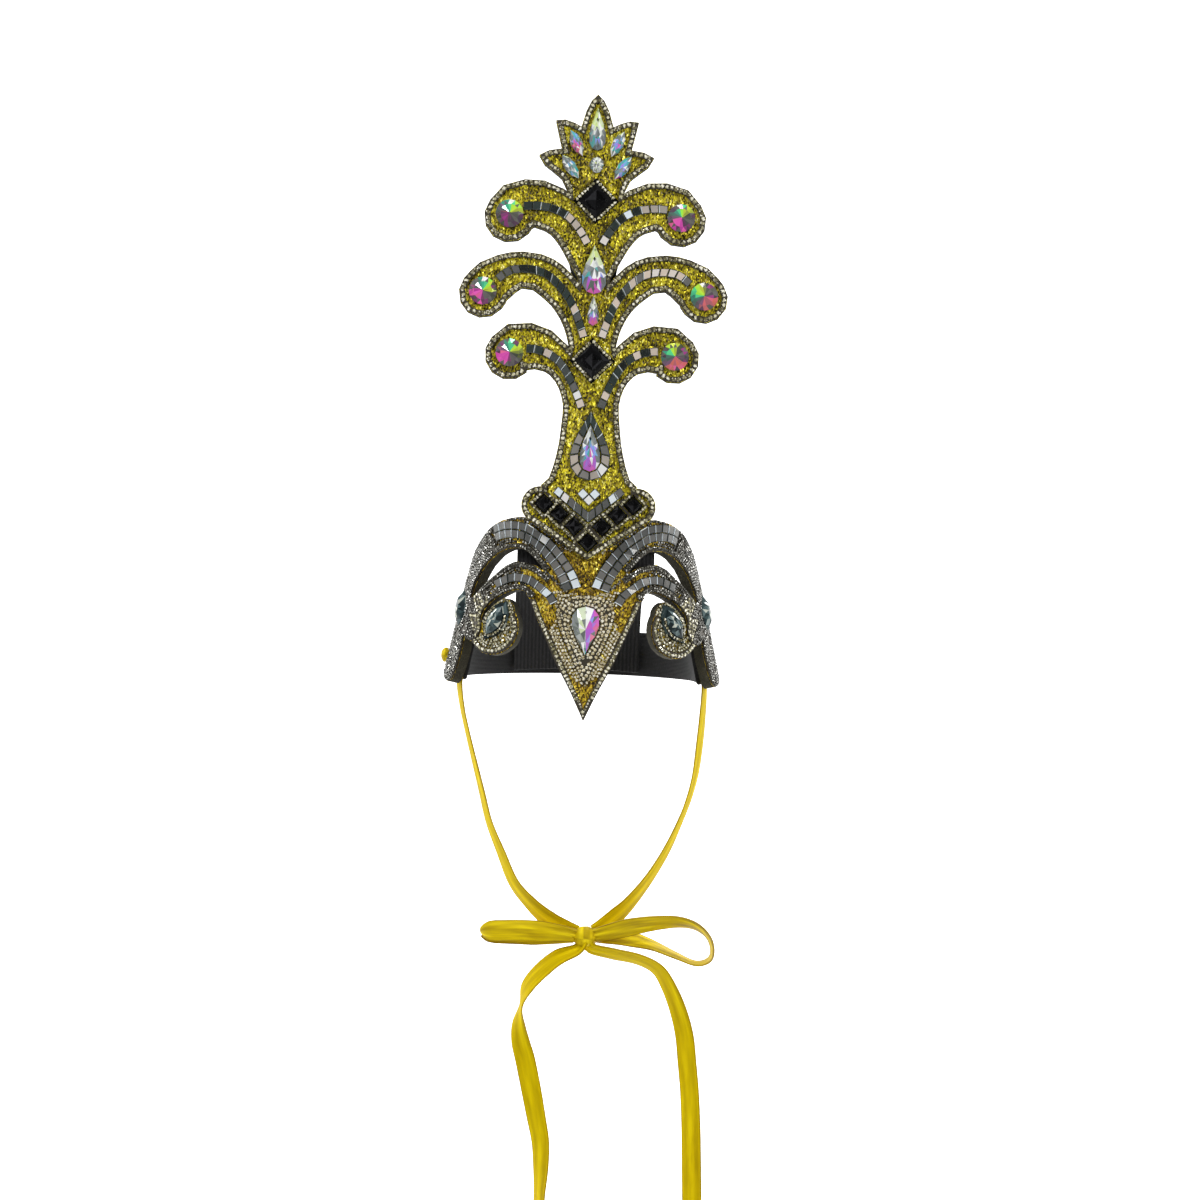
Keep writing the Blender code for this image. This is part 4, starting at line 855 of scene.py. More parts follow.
def by_shield(place):
    return abs(place.x) < 0.012 or abs(place.x) < 0.027 and place.z < 0.056


def by_volute(place):
    return not by_shield(place) and abs(place.x) < 0.0665 and place.z < 0.050


def on_arm(place):
    return not by_shield(place) and not by_volute(place)


foam = Bed("helmet_shell")
for label, area, size, small, finish, seed in (
        ("shield_paving", by_shield, 0.0019, 0.0012, golden_crystal, 35),
        ("volute_paving", by_volute, 0.0019, 0.0012, crystal, 36),
        ("arm_paving", on_arm, 0.0017, 0.0013, smoke_crystal, 37)):
    found = [spot for spot in pave(foam, size, rows=14) if area(spot[0]) and free(size)(spot[0])]
    found += [spot for spot in fill(foam, small, found, 50, free(small)) if area(spot[0])]
    set_stones(label, found, finish, seed, sink=0.0001, tones=(0.05, 1.0))

# %% [markdown]
# ## Mirror tiles
#
# Mirror tiles come as strips of small glass squares on a cloth backing, which bends round a curve and opens a
# little between the tiles. One tile is modelled as a flat block with its upper edges bevelled, and is then
# fitted into every square of the strip. A mirror takes its tone from what it faces, so each tile has its own
# tone, a painted reflection, and a share of the tiles gets a painted glint on one bevel.

# %% The pattern tile
deselect()
bpy.ops.mesh.primitive_cube_add(size=1.0, location=(0.5, 0.5, 0.5))
tile = take_up_top()
bpy.ops.mesh.extrude_region_move(TRANSFORM_OT_translate={"value": (0.0, 0.0, 0.0)})
bpy.ops.transform.resize(value=(0.84, 0.84, 1.0), center_override=(0.5, 0.5, 1.0))
for vert in bmesh.from_edit_mesh(tile.data).verts:
    if vert.co.z > 0.9 and max(abs(vert.co.x - 0.5), abs(vert.co.y - 0.5)) > 0.49:
        vert.co.z = 0.72
bmesh.update_edit_mesh(tile.data)
TILE_CORNERS, TILE_FACES, TILE_SLOPES = pattern_mesh(tile)
TILE_ALONG = np.array([TILE_CORNERS[list(face), 1].mean() for face in TILE_FACES])
print("tile faces", len(TILE_FACES))

# %% Tiles along a strip
TILE_GAP = 0.0003
TILE_HIGH = 0.0012


def resampled(line, count):
    """A line's points at even distances, and its length."""
    line = np.array([tuple(p) for p in line])
    run = np.concatenate([[0.0], np.cumsum(np.linalg.norm(np.diff(line, axis=0), axis=1))])
    at = np.linspace(0.0, run[-1], count)
    return np.stack([np.interp(at, run, line[:, i]) for i in range(3)], axis=1), run[-1]


def two_sides(name):
    """The two long edges of a strip, both running the same way."""
    line = max(Bed(name).lines, key=lambda rim: sum((end - start).length for start, end, _ in rim))
    points = [start for start, _, _ in line]
    count = len(points)
    turns = []
    for i in range(count):
        before = (points[i] - points[i - 1]).normalized()
        after = (points[(i + 1) % count] - points[i]).normalized()
        turns.append(before.dot(after))
    corners = sorted(sorted(range(count), key=lambda i: turns[i])[:4])
    runs = []
    for a, b in zip(corners, corners[1:] + [corners[0] + count]):
        runs.append([points[i % count] for i in range(a, b + 1)])
    lengths = [sum((q - p).length for p, q in zip(run, run[1:])) for run in runs]
    first = 0 if lengths[0] + lengths[2] > lengths[1] + lengths[3] else 1
    return runs[first], runs[first + 2][::-1]


def tiled(name, sides, tones, seed, length=0.005, bevel_glint_share=0.35):
    """Tiles between two lines, in as many rows as tones has. Tones are painted reflections; a share gets a
    painted glint on one bevel.
    """
    rng = np.random.default_rng(seed)
    span = resampled(sides[0], 9)[1] * 0.5 + resampled(sides[1], 9)[1] * 0.5
    count = max(1, round(span / length))
    left, right = resampled(sides[0], count + 1)[0], resampled(sides[1], count + 1)[0]
    points, polygons, facets = [], [], []
    for row, row_tones in enumerate(tones):
        low, high = row / len(tones), (row + 1) / len(tones)
        for i in range(count):
            quad = [left[k] + (right[k] - left[k]) * share
                    for k, share in ((i, low), (i, high), (i + 1, high), (i + 1, low))]
            across, along = quad[1] - quad[0], quad[3] - quad[0]
            wide, long = np.linalg.norm(across), np.linalg.norm(along)
            u = TILE_GAP / 2 / wide + TILE_CORNERS[:, 0:1] * (1 - TILE_GAP / wide)
            v = TILE_GAP / 2 / long + TILE_CORNERS[:, 1:2] * (1 - TILE_GAP / long)
            up = np.cross(across, along)
            up /= np.linalg.norm(up)
            if up @ np.array(outwards(name, Vector(quad[0]))) < 0:
                u = 1 - u
                up = -up
            flat = (quad[0] * (1 - u) * (1 - v) + quad[1] * u * (1 - v) + quad[2] * u * v
                    + quad[3] * (1 - u) * v)
            tip = rng.uniform(-0.02, 0.02, 2)
            level = ((TILE_CORNERS[:, 2:3] - 1.0) * TILE_HIGH + (u - 0.5) * tip[0] * wide
                     + (v - 0.5) * tip[1] * long)
            polygons += shifted(TILE_FACES, len(points) * len(TILE_CORNERS))
            points.append(flat + up * (level + 0.00003))
            # Painted reflection on the top, a painted glint or dull tone on one bevel, and dimmer painted
            # tones on the other faces.
            tone = row_tones[min(i, len(row_tones) - 1)] + rng.uniform(-0.03, 0.03)
            painted_bevel_tone = 0.98 if rng.uniform() < bevel_glint_share else 0.15
            rim = np.where(TILE_ALONG < 0.12, painted_bevel_tone, np.where(TILE_ALONG > 0.88, 0.30, 0.12))
            shade = np.where(TILE_SLOPES > 0.95, tone, np.where(TILE_SLOPES > 0.05, rim, 0.05))
            facets.append(np.clip(shade, 0.0, 1.0))
    return np.concatenate(points), polygons, np.concatenate(facets)


def add_tiles(label, name, corners, polygons, facets):
    add_piece(label, corners, polygons, mirror_glass, [name], facets)
    print(label, len(polygons) // len(TILE_FACES), "tiles")


def tile_strip(name, tones, seed, bevel_glint_share=0.35):
    """A strip of tiles from the middle of the headdress outwards, its first row nearest to the middle."""
    sides = two_sides(name)
    if abs(sides[0][0].x) > abs(sides[0][-1].x):
        sides = [side[::-1] for side in sides]
    if abs(sides[0][0].x) > abs(sides[1][0].x):
        sides = sides[::-1]
    add_tiles(name.replace("tiles", "mirrors"), name, *tiled(name, sides, tones, seed, bevel_glint_share=bevel_glint_share))


print("tile tools ready")

# %% Tiles of the fronds and arms
# Each tile's painted reflection, from the middle outwards.
FROND_TONES = {
    "top_frond_tiles_left": [0.84, 0.82, 0.70, 0.76, 0.06, 0.04, 0.24, 0.18],
    "top_frond_tiles_right": [0.84, 0.26, 0.16, 0.05, 0.97, 0.05, 0.70, 0.66],
    "middle_frond_tiles_left": [0.82, 0.22, 0.38, 0.80, 0.18, 0.20, 0.16, 0.20, 0.04, 0.22, 0.05, 0.04, 0.45],
    "middle_frond_tiles_right": [0.84, 0.80, 0.20, 0.18, 0.80, 0.05, 0.30, 0.78, 0.50, 0.80, 0.84, 0.78, 0.82,
                                 0.80, 0.50],
    "bottom_frond_tiles_left": [0.80, 0.88, 0.46, 0.24, 0.30, 0.34, 0.30, 0.74, 0.20],
    "bottom_frond_tiles_right": [0.42, 0.80, 0.20, 0.16, 0.18, 0.05, 0.22, 0.80, 0.06, 0.78],
}
for seed, (name, tones) in enumerate(FROND_TONES.items(), 41):
    tile_strip(name, [tones], seed)
ARM_TONES = {
    "upper_arm_tiles_left": [[0.97, 0.95, 0.55, 0.57, 0.50, 0.48, 0.93, 0.46, 0.45, 0.47, 0.43, 0.45, 0.46],
                             [0.42, 0.57, 0.54, 0.50, 0.46, 0.48, 0.44, 0.46, 0.43, 0.45, 0.46]],
    "upper_arm_tiles_right": [[0.97, 0.52, 0.50, 0.46, 0.44, 0.46, 0.43, 0.45, 0.46],
                              [0.47, 0.50, 0.46, 0.44, 0.46, 0.43, 0.45, 0.46, 0.48]],
    "lower_arm_tiles_left": [[0.44, 0.97, 0.50, 0.46, 0.50, 0.48, 0.44, 0.48]],
    "lower_arm_tiles_right": [[0.46, 0.48, 0.52, 0.46, 0.50, 0.48, 0.44, 0.48]],
}
for seed, (name, tones) in zip((51, 52, 61, 62), ARM_TONES.items()):
    tile_strip(name, tones, seed, 0.75)

# %% [markdown]
# ## Tiles in a V and in a ring
#
# Two strips meet in a V on the chevron and a ring of tiles surrounds the neck's drop. Their squares come from
# the solid's own corners: the V's two ends and its point, and the ring's two lines read by their share of the
# way round.

# %% Tiles of the chevron
corners = [start for start, _, _ in max(Bed("chevron_tiles").lines, key=len)]
middle = sorted((c for c in corners if abs(c.x) < 0.0006), key=lambda c: c.z)
reach = max(c.x for c in corners)
end = sorted((c for c in corners if c.x > reach * 0.72), key=lambda c: c.z)
right_sides = [[middle[0], end[0]], [middle[-1], end[-1]]]
left_sides = [[Vector((-p.x, p.y, p.z)) for p in side] for side in right_sides]
right_half = tiled("chevron_tiles", right_sides, [[0.44, 0.42, 0.40, 0.97, 0.52]], 61)
left_half = tiled("chevron_tiles", left_sides, [[0.42, 0.40, 0.44, 0.90, 0.97]], 62)
polygons = right_half[1] + shifted(left_half[1], len(right_half[0]))
facets = np.concatenate([right_half[2], left_half[2]])
add_tiles("chevron_mirrors", "chevron_tiles", np.concatenate([right_half[0], left_half[0]]), polygons, facets)

# %% Three squares in the small V
SQUARE = 0.0047
low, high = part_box("chevron_small_tiles")
half_step = SQUARE * 0.7071 + 0.0001
points, polygons, facets = [], [], []
# The third number is each square's painted reflection; its sides are painted at 0.30.
for number, (x, rise, tone) in enumerate(((0, 1, 0.90), (-half_step, 2, 0.96), (half_step, 2, 0.97))):
    flat = (TILE_CORNERS - (0.5, 0.5, 1.0)) * (SQUARE, SQUARE, TILE_HIGH)
    x_flat, z_flat, y_flat = flat.T
    turned = np.stack([x_flat - z_flat, y_flat * 1.41421, x_flat + z_flat], axis=1) * 0.7071
    points.append(turned * (1, -1, 1) + (x, low.y, low.z + rise * half_step))
    polygons += [face[::-1] for face in shifted(TILE_FACES, number * len(flat))]
    facets.append(np.where(TILE_SLOPES > 0.95, tone, 0.30))
add_tiles("chevron_small_mirrors", "chevron_small_tiles", np.concatenate(points), polygons,
          np.concatenate(facets))

# %% Tiles round the neck's drop
lines = sorted(Bed("neck_tiles").lines, key=lambda rim: -max(start.z for start, _, _ in rim))
ring_sides = []
for line in lines:
    points = [start for start, _, _ in line]
    top = max(range(len(points)), key=lambda i: points[i].z)
    points = points[top:] + points[:top + 1]
    if points[1].x < 0:
        points = points[::-1]
    ring_sides.append(points)
# Painted reflections of the ring's tiles, round from one side to the other.
RING_TONES = [0.24, 0.28, 0.36, 0.50, 0.66, 0.92, 0.66, 0.58, 0.68, 0.70, 0.58, 0.66, 0.30, 0.24]
add_tiles("neck_mirrors", "neck_tiles", *tiled("neck_tiles", ring_sides, [RING_TONES], 65, length=0.0058))

# %% [markdown]
# ## Cut stones
#
# The large stones are moulded glass with a foil back. Each is taken from its own solid, which already has the
# outline, the girdle and the table. The sloping sides are then divided into small facets by poking every side
# face, and the table gets an inner star, which is what the eye sees of the back facets through the glass. The
# foil gives each stone bands of colour, so a facet's tone follows its place on the stone, with a little
# chance; the tones are both the foil's colour and painted reflection. A share of facets are painted flashes or
# painted dark, and the girdle is painted dark as painted shade.

# %% Facets on a stone's solid
# The share of facets painted as a glint, and a little less than that painted dark.
FLASHES = 0.10


def cut(name):
    """A joined copy of a stone with its sides poked and a star in its table."""
    made = copy_of(name, name + "_cut")
    join_corners()
    bpy.ops.mesh.dissolve_limited(angle_limit=math.radians(1.5))
    mesh = bmesh.from_edit_mesh(made.data)
    mesh.normal_update()
    height = {}
    for face in mesh.faces:
        if facing(name, face) > LEVEL_SLOPE:
            middle = face.calc_center_median()
            height[face] = middle.dot((outwards(name, middle) * Vector((1, 1, 0))).normalized())
    top = max(height.values())
    table = max((f for f in height if height[f] > top - 0.0003), key=lambda f: f.calc_area())
    table_size = math.sqrt(table.calc_area())
    choose_faces(made, lambda face: face == table)
    bpy.ops.mesh.inset(thickness=0.0002 + 0.12 * table_size, depth=0.0)
    bpy.ops.mesh.poke(offset=0.00025)
    choose_faces(made, lambda face: 0.30 < facing(name, face) < LEVEL_SLOPE)
    bpy.ops.mesh.poke(offset=0.00022)
    bpy.ops.object.mode_set(mode="OBJECT")
    return made


def place_on(made, name):
    """How far down and how far across each face lies on its stone, and how much it looks outwards."""
    centres = np.array([tuple(p.center) for p in made.data.polygons])
    slopes = np.array([p.normal.dot(outwards(name, p.center)) for p in made.data.polygons])
    low, high = centres.min(axis=0), centres.max(axis=0)
    down = (high[2] - centres[:, 2]) / max(high[2] - low[2], 1e-6)
    across = (centres[:, 0] - low[0]) / max(high[0] - low[0], 1e-6) * 2 - 1
    return down, across, slopes


def coloured(name, finish, tone, seed, chance=0.045, flash_tone=0.97, dark_tone=0.31):
    """A cut stone whose facets are coloured by a rule of down and across, with a few painted flashes and dark
    facets.
    """
    rng = np.random.default_rng(seed)
    made = cut(name)
    down, across, slopes = place_on(made, name)
    spread = np.where(slopes > LEVEL_SLOPE, 2.2, 1.0)
    facets = tone(down, across) + rng.normal(0.0, 1.0, len(down)) * spread * chance
    roll = rng.uniform(0, 1, len(down))
    # Painted glints and painted dark facets at random, and painted shade on the girdle.
    facets = np.where(roll < FLASHES, flash_tone, np.where(roll > 1 - FLASHES * 0.8, dark_tone, facets))
    facets = np.where(slopes < 0.1, dark_tone, np.clip(facets, 0.0, 1.0))
    made.data.attributes.new("facet", "FLOAT", "FACE").data.foreach_set("value", facets.astype(np.float32))
    finish_with(made, finish)
    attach(made, "root")
    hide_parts(name)


def layers(tones, rim):
    """Tones from the top down, with another tone along both sides."""
    shares = np.linspace(0.0, 1.0, len(tones))
    return lambda down, across: np.where(np.abs(across) > 0.62, rim, np.interp(down, shares, tones))


def columns(tones):
    """Tones from the left to the right."""
    shares = np.linspace(-1.0, 1.0, len(tones))
    return lambda down, across: np.interp(across, shares, tones)


def bands(down, across):
    """Painted reflection in slanting bands."""
    return 0.35 + 0.3 * np.sin(9 * down + 5 * across)


STONES = {
    "palmette_drop": layers([0.02, 0.08, 0.20, 0.24, 0.57, 0.24], 0.40),
    "palmette_oval": layers([0.26, 0.20, 0.26], 0.40),
    "palmette_upper_navette_left": layers([0.50, 0.49, 0.85, 0.84], 0.30),
    "palmette_upper_navette_right": layers([0.12, 0.50, 0.56, 0.38], 0.34),
    "palmette_lower_navette_left": layers([0.10, 0.56, 0.26, 0.72], 0.42),
    "palmette_lower_navette_right": layers([0.50, 0.50, 0.40, 0.80], 0.34),
    "stem_drop": layers([0.05, 0.10, 0.38, 0.67, 0.77], 0.38),
    "stem_slim_drop": layers([0.40, 0.12, 0.36, 0.73, 0.78], 0.34),
    "neck_drop": layers([0.26, 0.22, 0.57, 0.60, 0.74], 0.36),
    "shield_drop": columns([0.36, 0.32, 0.24, 0.66, 0.68, 0.82]),
}
for seed, (name, tone) in enumerate(STONES.items(), 71):
    coloured(name, pearl_glass, tone, seed)
black = [n for n in nodes if n.startswith(("black_square", "stem_diamond"))]
teal = [n for n in nodes if n.startswith(("volute_stone", "side_stone"))]
for seed, name in enumerate(black, 91):
    coloured(name, jet_glass, bands, seed, 0.25, 1.0, 0.0)
for seed, name in enumerate(teal, 111):
    coloured(name, teal_glass, bands, seed, 0.22, 1.0, 0.0)
print("cut stones", len(STONES) + len(black) + len(teal))

# %% [markdown]
# ## Round stones with rainbow foil
#
# The round stones end in a point instead of a table, with sixteen long facets that meet there and a ring of
# short ones round the girdle. The foil colours them by the way that they face: lime at the top, dark at the
# sides and pink at the bottom, which is the foil's colour and painted reflection together, with some facets
# painted dark at random. Each is sewn on through two small holes.

# %% The pattern of the round stone
deselect()
bpy.ops.mesh.primitive_cylinder_add(vertices=16, radius=0.5, depth=0.09, location=(0.0, 0.0, 0.045))
round_stone = take_up_top()
pull_up(0.10, 0.66)
bpy.ops.transform.rotate(value=math.pi / 16, orient_axis="Z", center_override=(0.0, 0.0, 0.0))
pull_up(0.085, 0.16)
bpy.ops.mesh.poke(offset=0.012)
choose_faces(round_stone, lambda face: len(face.verts) == 4 and face.normal.z > 0.05)
bpy.ops.mesh.quads_convert_to_tris(quad_method="SHORTEST_DIAGONAL")
ROUND_CORNERS, ROUND_FACES, ROUND_SLOPES = pattern_mesh(round_stone)
print("round stone faces", len(ROUND_FACES))

# %% Round stones in their places
def round_stone_on(name, turn, pink, seed):
    """The pattern stone in place of a solid, toned by the way round from its top. Pink is its lower tone."""
    rng = np.random.default_rng(seed)
    low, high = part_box(name)
    middle, wide = (low + high) / 2, high.x - low.x
    deep = (high.y - low.y) / max(ROUND_CORNERS[:, 2])
    corners = np.stack([middle.x + ROUND_CORNERS[:, 0] * wide, high.y - ROUND_CORNERS[:, 2] * deep,
                        middle.z + ROUND_CORNERS[:, 1] * wide], axis=1)
    centres = np.array([ROUND_CORNERS[list(face)].mean(axis=0) for face in ROUND_FACES])
    away = np.linalg.norm(centres[:, :2], axis=1)
    share = (np.degrees(np.arctan2(centres[:, 0], centres[:, 1])) / 360 + turn) % 1.0
    share = np.where((share > 0.44) & (share < 0.70), pink, share)
    facets = (share + rng.normal(0.0, 0.030, len(share))) % 1.0
    # Painted reflection: a share of the outer facets is painted dark at random, and the girdle a dull tone.
    flip = (away > 0.34) & (rng.uniform(0, 1, len(share)) < 0.35)
    facets = np.where(flip, rng.uniform(0.2, 0.45, len(share)), facets)
    facets = np.where(ROUND_SLOPES < 0.05, 0.24, facets)
    add_piece(name + "_round", corners, ROUND_FACES, rainbow_glass, [name], facets)


ROUND_TURNS = {
    "top_frond_stone_left": (-0.06, 0.41), "top_frond_stone_right": (0.0, 0.55),
    "middle_frond_stone_left": (-0.09, 0.55), "middle_frond_stone_right": (0.17, 0.64),
    "bottom_frond_stone_left": (-0.07, 0.54), "bottom_frond_stone_right": (0.12, 0.64),
}
rounds = [n for n in nodes if n in ROUND_TURNS]
for seed, name in enumerate(rounds, 131):
    round_stone_on(name, *ROUND_TURNS[name], seed)
print("round stones", len(rounds))

# %% [markdown]
# ## Sewing holes
#
# Every sewn stone has two holes near its ends, where the thread goes through. They show as black dots, the
# shade inside the holes, so a small cup with a ring round it is set into each and coloured black as painted
# shade.

# %% Holes of the sewn stones
deselect()
bpy.ops.mesh.primitive_cylinder_add(vertices=12, radius=0.00062, depth=0.0006, location=(0.0, 0.0, 0.0))
cup = take_up_top()
bpy.ops.mesh.inset(thickness=0.00016, depth=0.0)
bpy.ops.mesh.extrude_region_move(TRANSFORM_OT_translate={"value": (0.0, 0.0, -0.00035)})
CUP_CORNERS, CUP_FACES, _ = pattern_mesh(cup)
sewn = one_tree(o.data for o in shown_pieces() if o.name.endswith(("_cut", "_round")))


def two_holes(name, aside=0.0, reach=0.0):
    """Corners of two cups, beside a stone's middle or at a share of its height above and below it."""
    low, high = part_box(name)
    found = []
    for side in (-1, 1):
        x = (low.x + high.x) / 2 + side * aside
        z = (low.z + high.z) / 2 + side * reach * (high.z - low.z)
        hit, normal, _, _ = sewn.ray_cast(Vector((x, low.y - 0.02, z)), Vector((0.0, 1.0, 0.0)))
        turn = np.array(Vector((0, 0, 1)).rotation_difference(normal).to_matrix())
        found.append(CUP_CORNERS @ turn.T + np.array(hit) - np.array(normal) * 0.00022)
    return found


points = []
for name in rounds:
    points += two_holes(name, aside=0.0062)
for name, reach in (("palmette_drop", 0.40), ("stem_drop", 0.40), ("neck_drop", 0.38), ("shield_drop", 0.38)):
    points += two_holes(name, reach=reach)
for start, aside in (("black_square", 0.0031), ("stem_diamond", 0.0058)):
    for name in [n for n in nodes if n.startswith(start)]:
        points += two_holes(name, aside=aside)
polygons = [face for i in range(len(points)) for face in shifted(CUP_FACES, i * len(CUP_CORNERS))]
add_piece("sewing_holes", np.concatenate(points), polygons, painted_hole_shade, [])
print("sewing holes", len(points))

# %% [markdown]
# ## Frames of small stones round the diamonds and the volutes' stones
#
# The black diamonds and the teal stones on the volutes sit in frames: a row of small stones on a cloth edge.
# The frame is the lower, level ring of the stone's own solid, so the stones are laid on that.

# %% Framed stones
def frame_stones(name, size, seed):
    mesh = joined(name)
    heights = [f.calc_center_median().dot(outwards(name, f.calc_center_median()))
               for f in mesh.faces if facing(name, f) > LEVEL_SLOPE]
    mesh.free()
    level = (min(heights) + max(heights)) / 2

    def low_ring(face):
        middle = face.calc_center_median()
        return facing(name, face) > LEVEL_SLOPE and middle.dot(outwards(name, middle)) < level

    found = pave(Bed(name, low_ring), size, 1, 0.00105)
    set_stones(f"{name}_frame", found, crystal, seed, sink=0.0002)


FRAMED = {"stem_diamond_upper": (0.0021, 151), "stem_diamond_lower": (0.0021, 152),
          "volute_stone_left": (0.0018, 155), "volute_stone_right": (0.0018, 156)}
for name, (size, seed) in FRAMED.items():
    frame_stones(name, size, seed)

# %% [markdown]
# ## Foam with glitter cloth
#
# The helmet front and the spire are cut from foam sheet and covered with glitter cloth on the outside only.
# The cut edges stay dark. A copy of each solid gets softly rounded edges, and each face is given cloth or
# foam by the way that it looks.

# %% Shell, plate and backing
def plain_copy(name, label):
    """A copy of a solid in edit mode, without the normals that it was loaded with."""
    made = copy_of(name, label)
    if made.data.has_custom_normals:
        bpy.ops.mesh.customdata_custom_splitnormals_clear()
    join_corners()
    return made


def covered(name, label, cloth, rounding=0.0007, level=0.90):
    """A foam plate with soft edges, and cloth on the faces that look outwards by more than a level."""
    made = plain_copy(name, label)
    bpy.ops.object.mode_set(mode="OBJECT")
    soften = made.modifiers.new("rounding", "BEVEL")
    soften.width = rounding
    soften.segments = 3
    soften.limit_method = "ANGLE"
    soften.angle_limit = math.radians(50)
    bpy.ops.object.modifier_apply(modifier=soften.name)
    finish_with(made, dark_foam, cloth)
    for face in made.data.polygons:
        face.material_index = int(face.normal.dot(outwards(name, face.center)) > level)
    bpy.ops.object.shade_smooth_by_angle(angle=math.radians(35))
    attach(made, "root")
    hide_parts(name)
    print(label, len(made.data.polygons), "faces")


covered("helmet_shell", "helmet_cloth", amber_glitter, level=0.80)
covered("spire_plate", "spire_cloth", yellow_glitter)
covered("spire_backing", "spire_stiffener", black_felt, 0.0004)

# %% [markdown]
# ## Straps of woven elastic
#
# A wide black elastic strap runs from inside the helmet front over the crown to the nape, and a narrower band
# goes round the back. Both are laid out smoothly along their solids, with the ribs of the weave running the
# long way, which the material reads from a UV map: across the strap and along it.

# %% Strap and band
def strap(name, label, flat_size):
    """An elastic strap, smoothed along its solid. Its flat size is its width and length in metres."""
    made = plain_copy(name, label)
    bpy.ops.mesh.tris_convert_to_quads(face_threshold=math.radians(60), shape_threshold=math.radians(60))
    bpy.ops.object.mode_set(mode="OBJECT")
    mesh = bmesh.new()
    mesh.from_mesh(made.data)
    crease = mesh.edges.layers.float.new("crease_edge")
    for edge in mesh.edges:
        sharp = edge.is_manifold and edge.calc_face_angle(0.0) > math.radians(50)
        edge[crease] = 0.9 if sharp else 0.0
    mesh.to_mesh(made.data)
    mesh.free()
    smooth = made.modifiers.new("smooth", "SUBSURF")
    smooth.levels = smooth.render_levels = 2
    bpy.ops.object.modifier_apply(modifier=smooth.name)
    finish_with(made, black_elastic)
    bpy.ops.object.shade_smooth_by_angle(angle=math.radians(40))
    while made.data.uv_layers:
        made.data.uv_layers.remove(made.data.uv_layers[0])
    spots = np.array([tuple(v.co) for v in made.data.vertices])
    if name == "crown_strap":
        across = spots[:, 0] / 0.08 + 0.5
        along = np.degrees(np.arctan2(spots[:, 1], spots[:, 2] + 0.02)) / 360
    else:
        across = (spots[:, 2] - spots[:, 2].min()) / (spots[:, 2].max() - spots[:, 2].min())
        along = np.arctan2(spots[:, 0], spots[:, 1]) / math.tau
    layer = made.data.uv_layers.new(name="cloth")
    for loop in made.data.loops:
        layer.data[loop.index].uv = (across[loop.vertex_index], along[loop.vertex_index])
    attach(made, "root")
    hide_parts(name)
    area = sum(p.area for p in made.data.polygons)
    print(label, "area", round(area * 1e4), "cm2, flat", round(2e4 * flat_size[0] * flat_size[1]), "cm2")


strap("crown_strap", "crown_elastic", (0.080, 0.235))
strap("back_band", "back_elastic", (0.028, 0.300))

# %% [markdown]
# ## Satin ribbon
#
# The ribbon is single-sided satin, 12 mm wide. It is fixed inside both side bands, runs down beside the face
# and is tied in a bow below the chin, with two tails. Each length is a thin strip laid along a smooth curve
# through the same points as its solid, and its face turns as the ribbon twists. It is arched a little across,
# has folded edges, and is narrower where the knot squeezes it.

# %% Routes of the ribbon
SIDE_SCALE = (0.0765, 0.096, 0.146)
KNOT = Vector((0.065 * SIDE_SCALE[0], -0.8125 * SIDE_SCALE[1], -SIDE_SCALE[2]))
LOOP_SCALE = (0.080, 0.008, 0.014)
TAIL_SCALE = (0.080, 0.008, 0.161)
SIDE_LEFT = [
    (-0.944, -0.568, 0.007, 75), (-0.918, -0.562, -0.099, 78), (-0.865, -0.568, -0.215, 78),
    (-0.808, -0.578, -0.327, 76), (-0.748, -0.594, -0.443, 74), (-0.689, -0.615, -0.558, 72),
    (-0.592, -0.641, -0.678, 66), (-0.486, -0.672, -0.799, 60), (-0.340, -0.706, -0.884, 48),
    (-0.200, -0.732, -0.942, 30), (-0.080, -0.752, -0.972, 14), (0.004, -0.767, -0.988, 6),
]
SIDE_RIGHT = [
    (0.952, -0.568, 0.007, -73), (0.944, -0.562, -0.112, -70), (0.925, -0.568, -0.233, -68),
    (0.899, -0.578, -0.347, -70), (0.856, -0.594, -0.439, -72), (0.795, -0.615, -0.527, -72),
    (0.688, -0.641, -0.651, -66), (0.554, -0.672, -0.767, -60), (0.405, -0.704, -0.866, -48),
    (0.290, -0.723, -0.924, -32), (0.200, -0.744, -0.962, -16), (0.132, -0.761, -0.984, -8),
]
LOOP_LEFT = [
    (-0.037, -0.063, 0.036, 0), (-0.200, -0.625, 0.214, 0), (-0.425, -1.000, 0.321, 6),
    (-0.625, -1.000, 0.300, 10), (-0.737, -0.563, 0.229, 10), (-0.750, 0.125, 0.143, 8),
    (-0.650, 0.563, 0.071, 4), (-0.462, 0.688, 0.036, 0), (-0.250, 0.563, 0.000, 0),
    (-0.087, 0.250, 0.000, 0),
]
LOOP_RIGHT = [
    (0.025, -0.063, 0.036, 0), (0.150, -0.625, 0.250, 10), (0.312, -0.875, 0.514, 26),
    (0.487, -0.875, 0.700, 40), (0.663, -0.813, 0.771, 52), (0.800, -0.625, 0.586, 66),
    (0.894, -0.438, 0.143, 78), (0.927, -0.313, -0.393, 84), (0.906, -0.188, -0.821, 86),
    (0.812, -0.063, -0.986, 84), (0.663, 0.063, -0.679, 78), (0.475, 0.188, -0.250, 66),
    (0.275, 0.313, 0.000, 40), (0.075, 0.313, 0.036, 10),
]
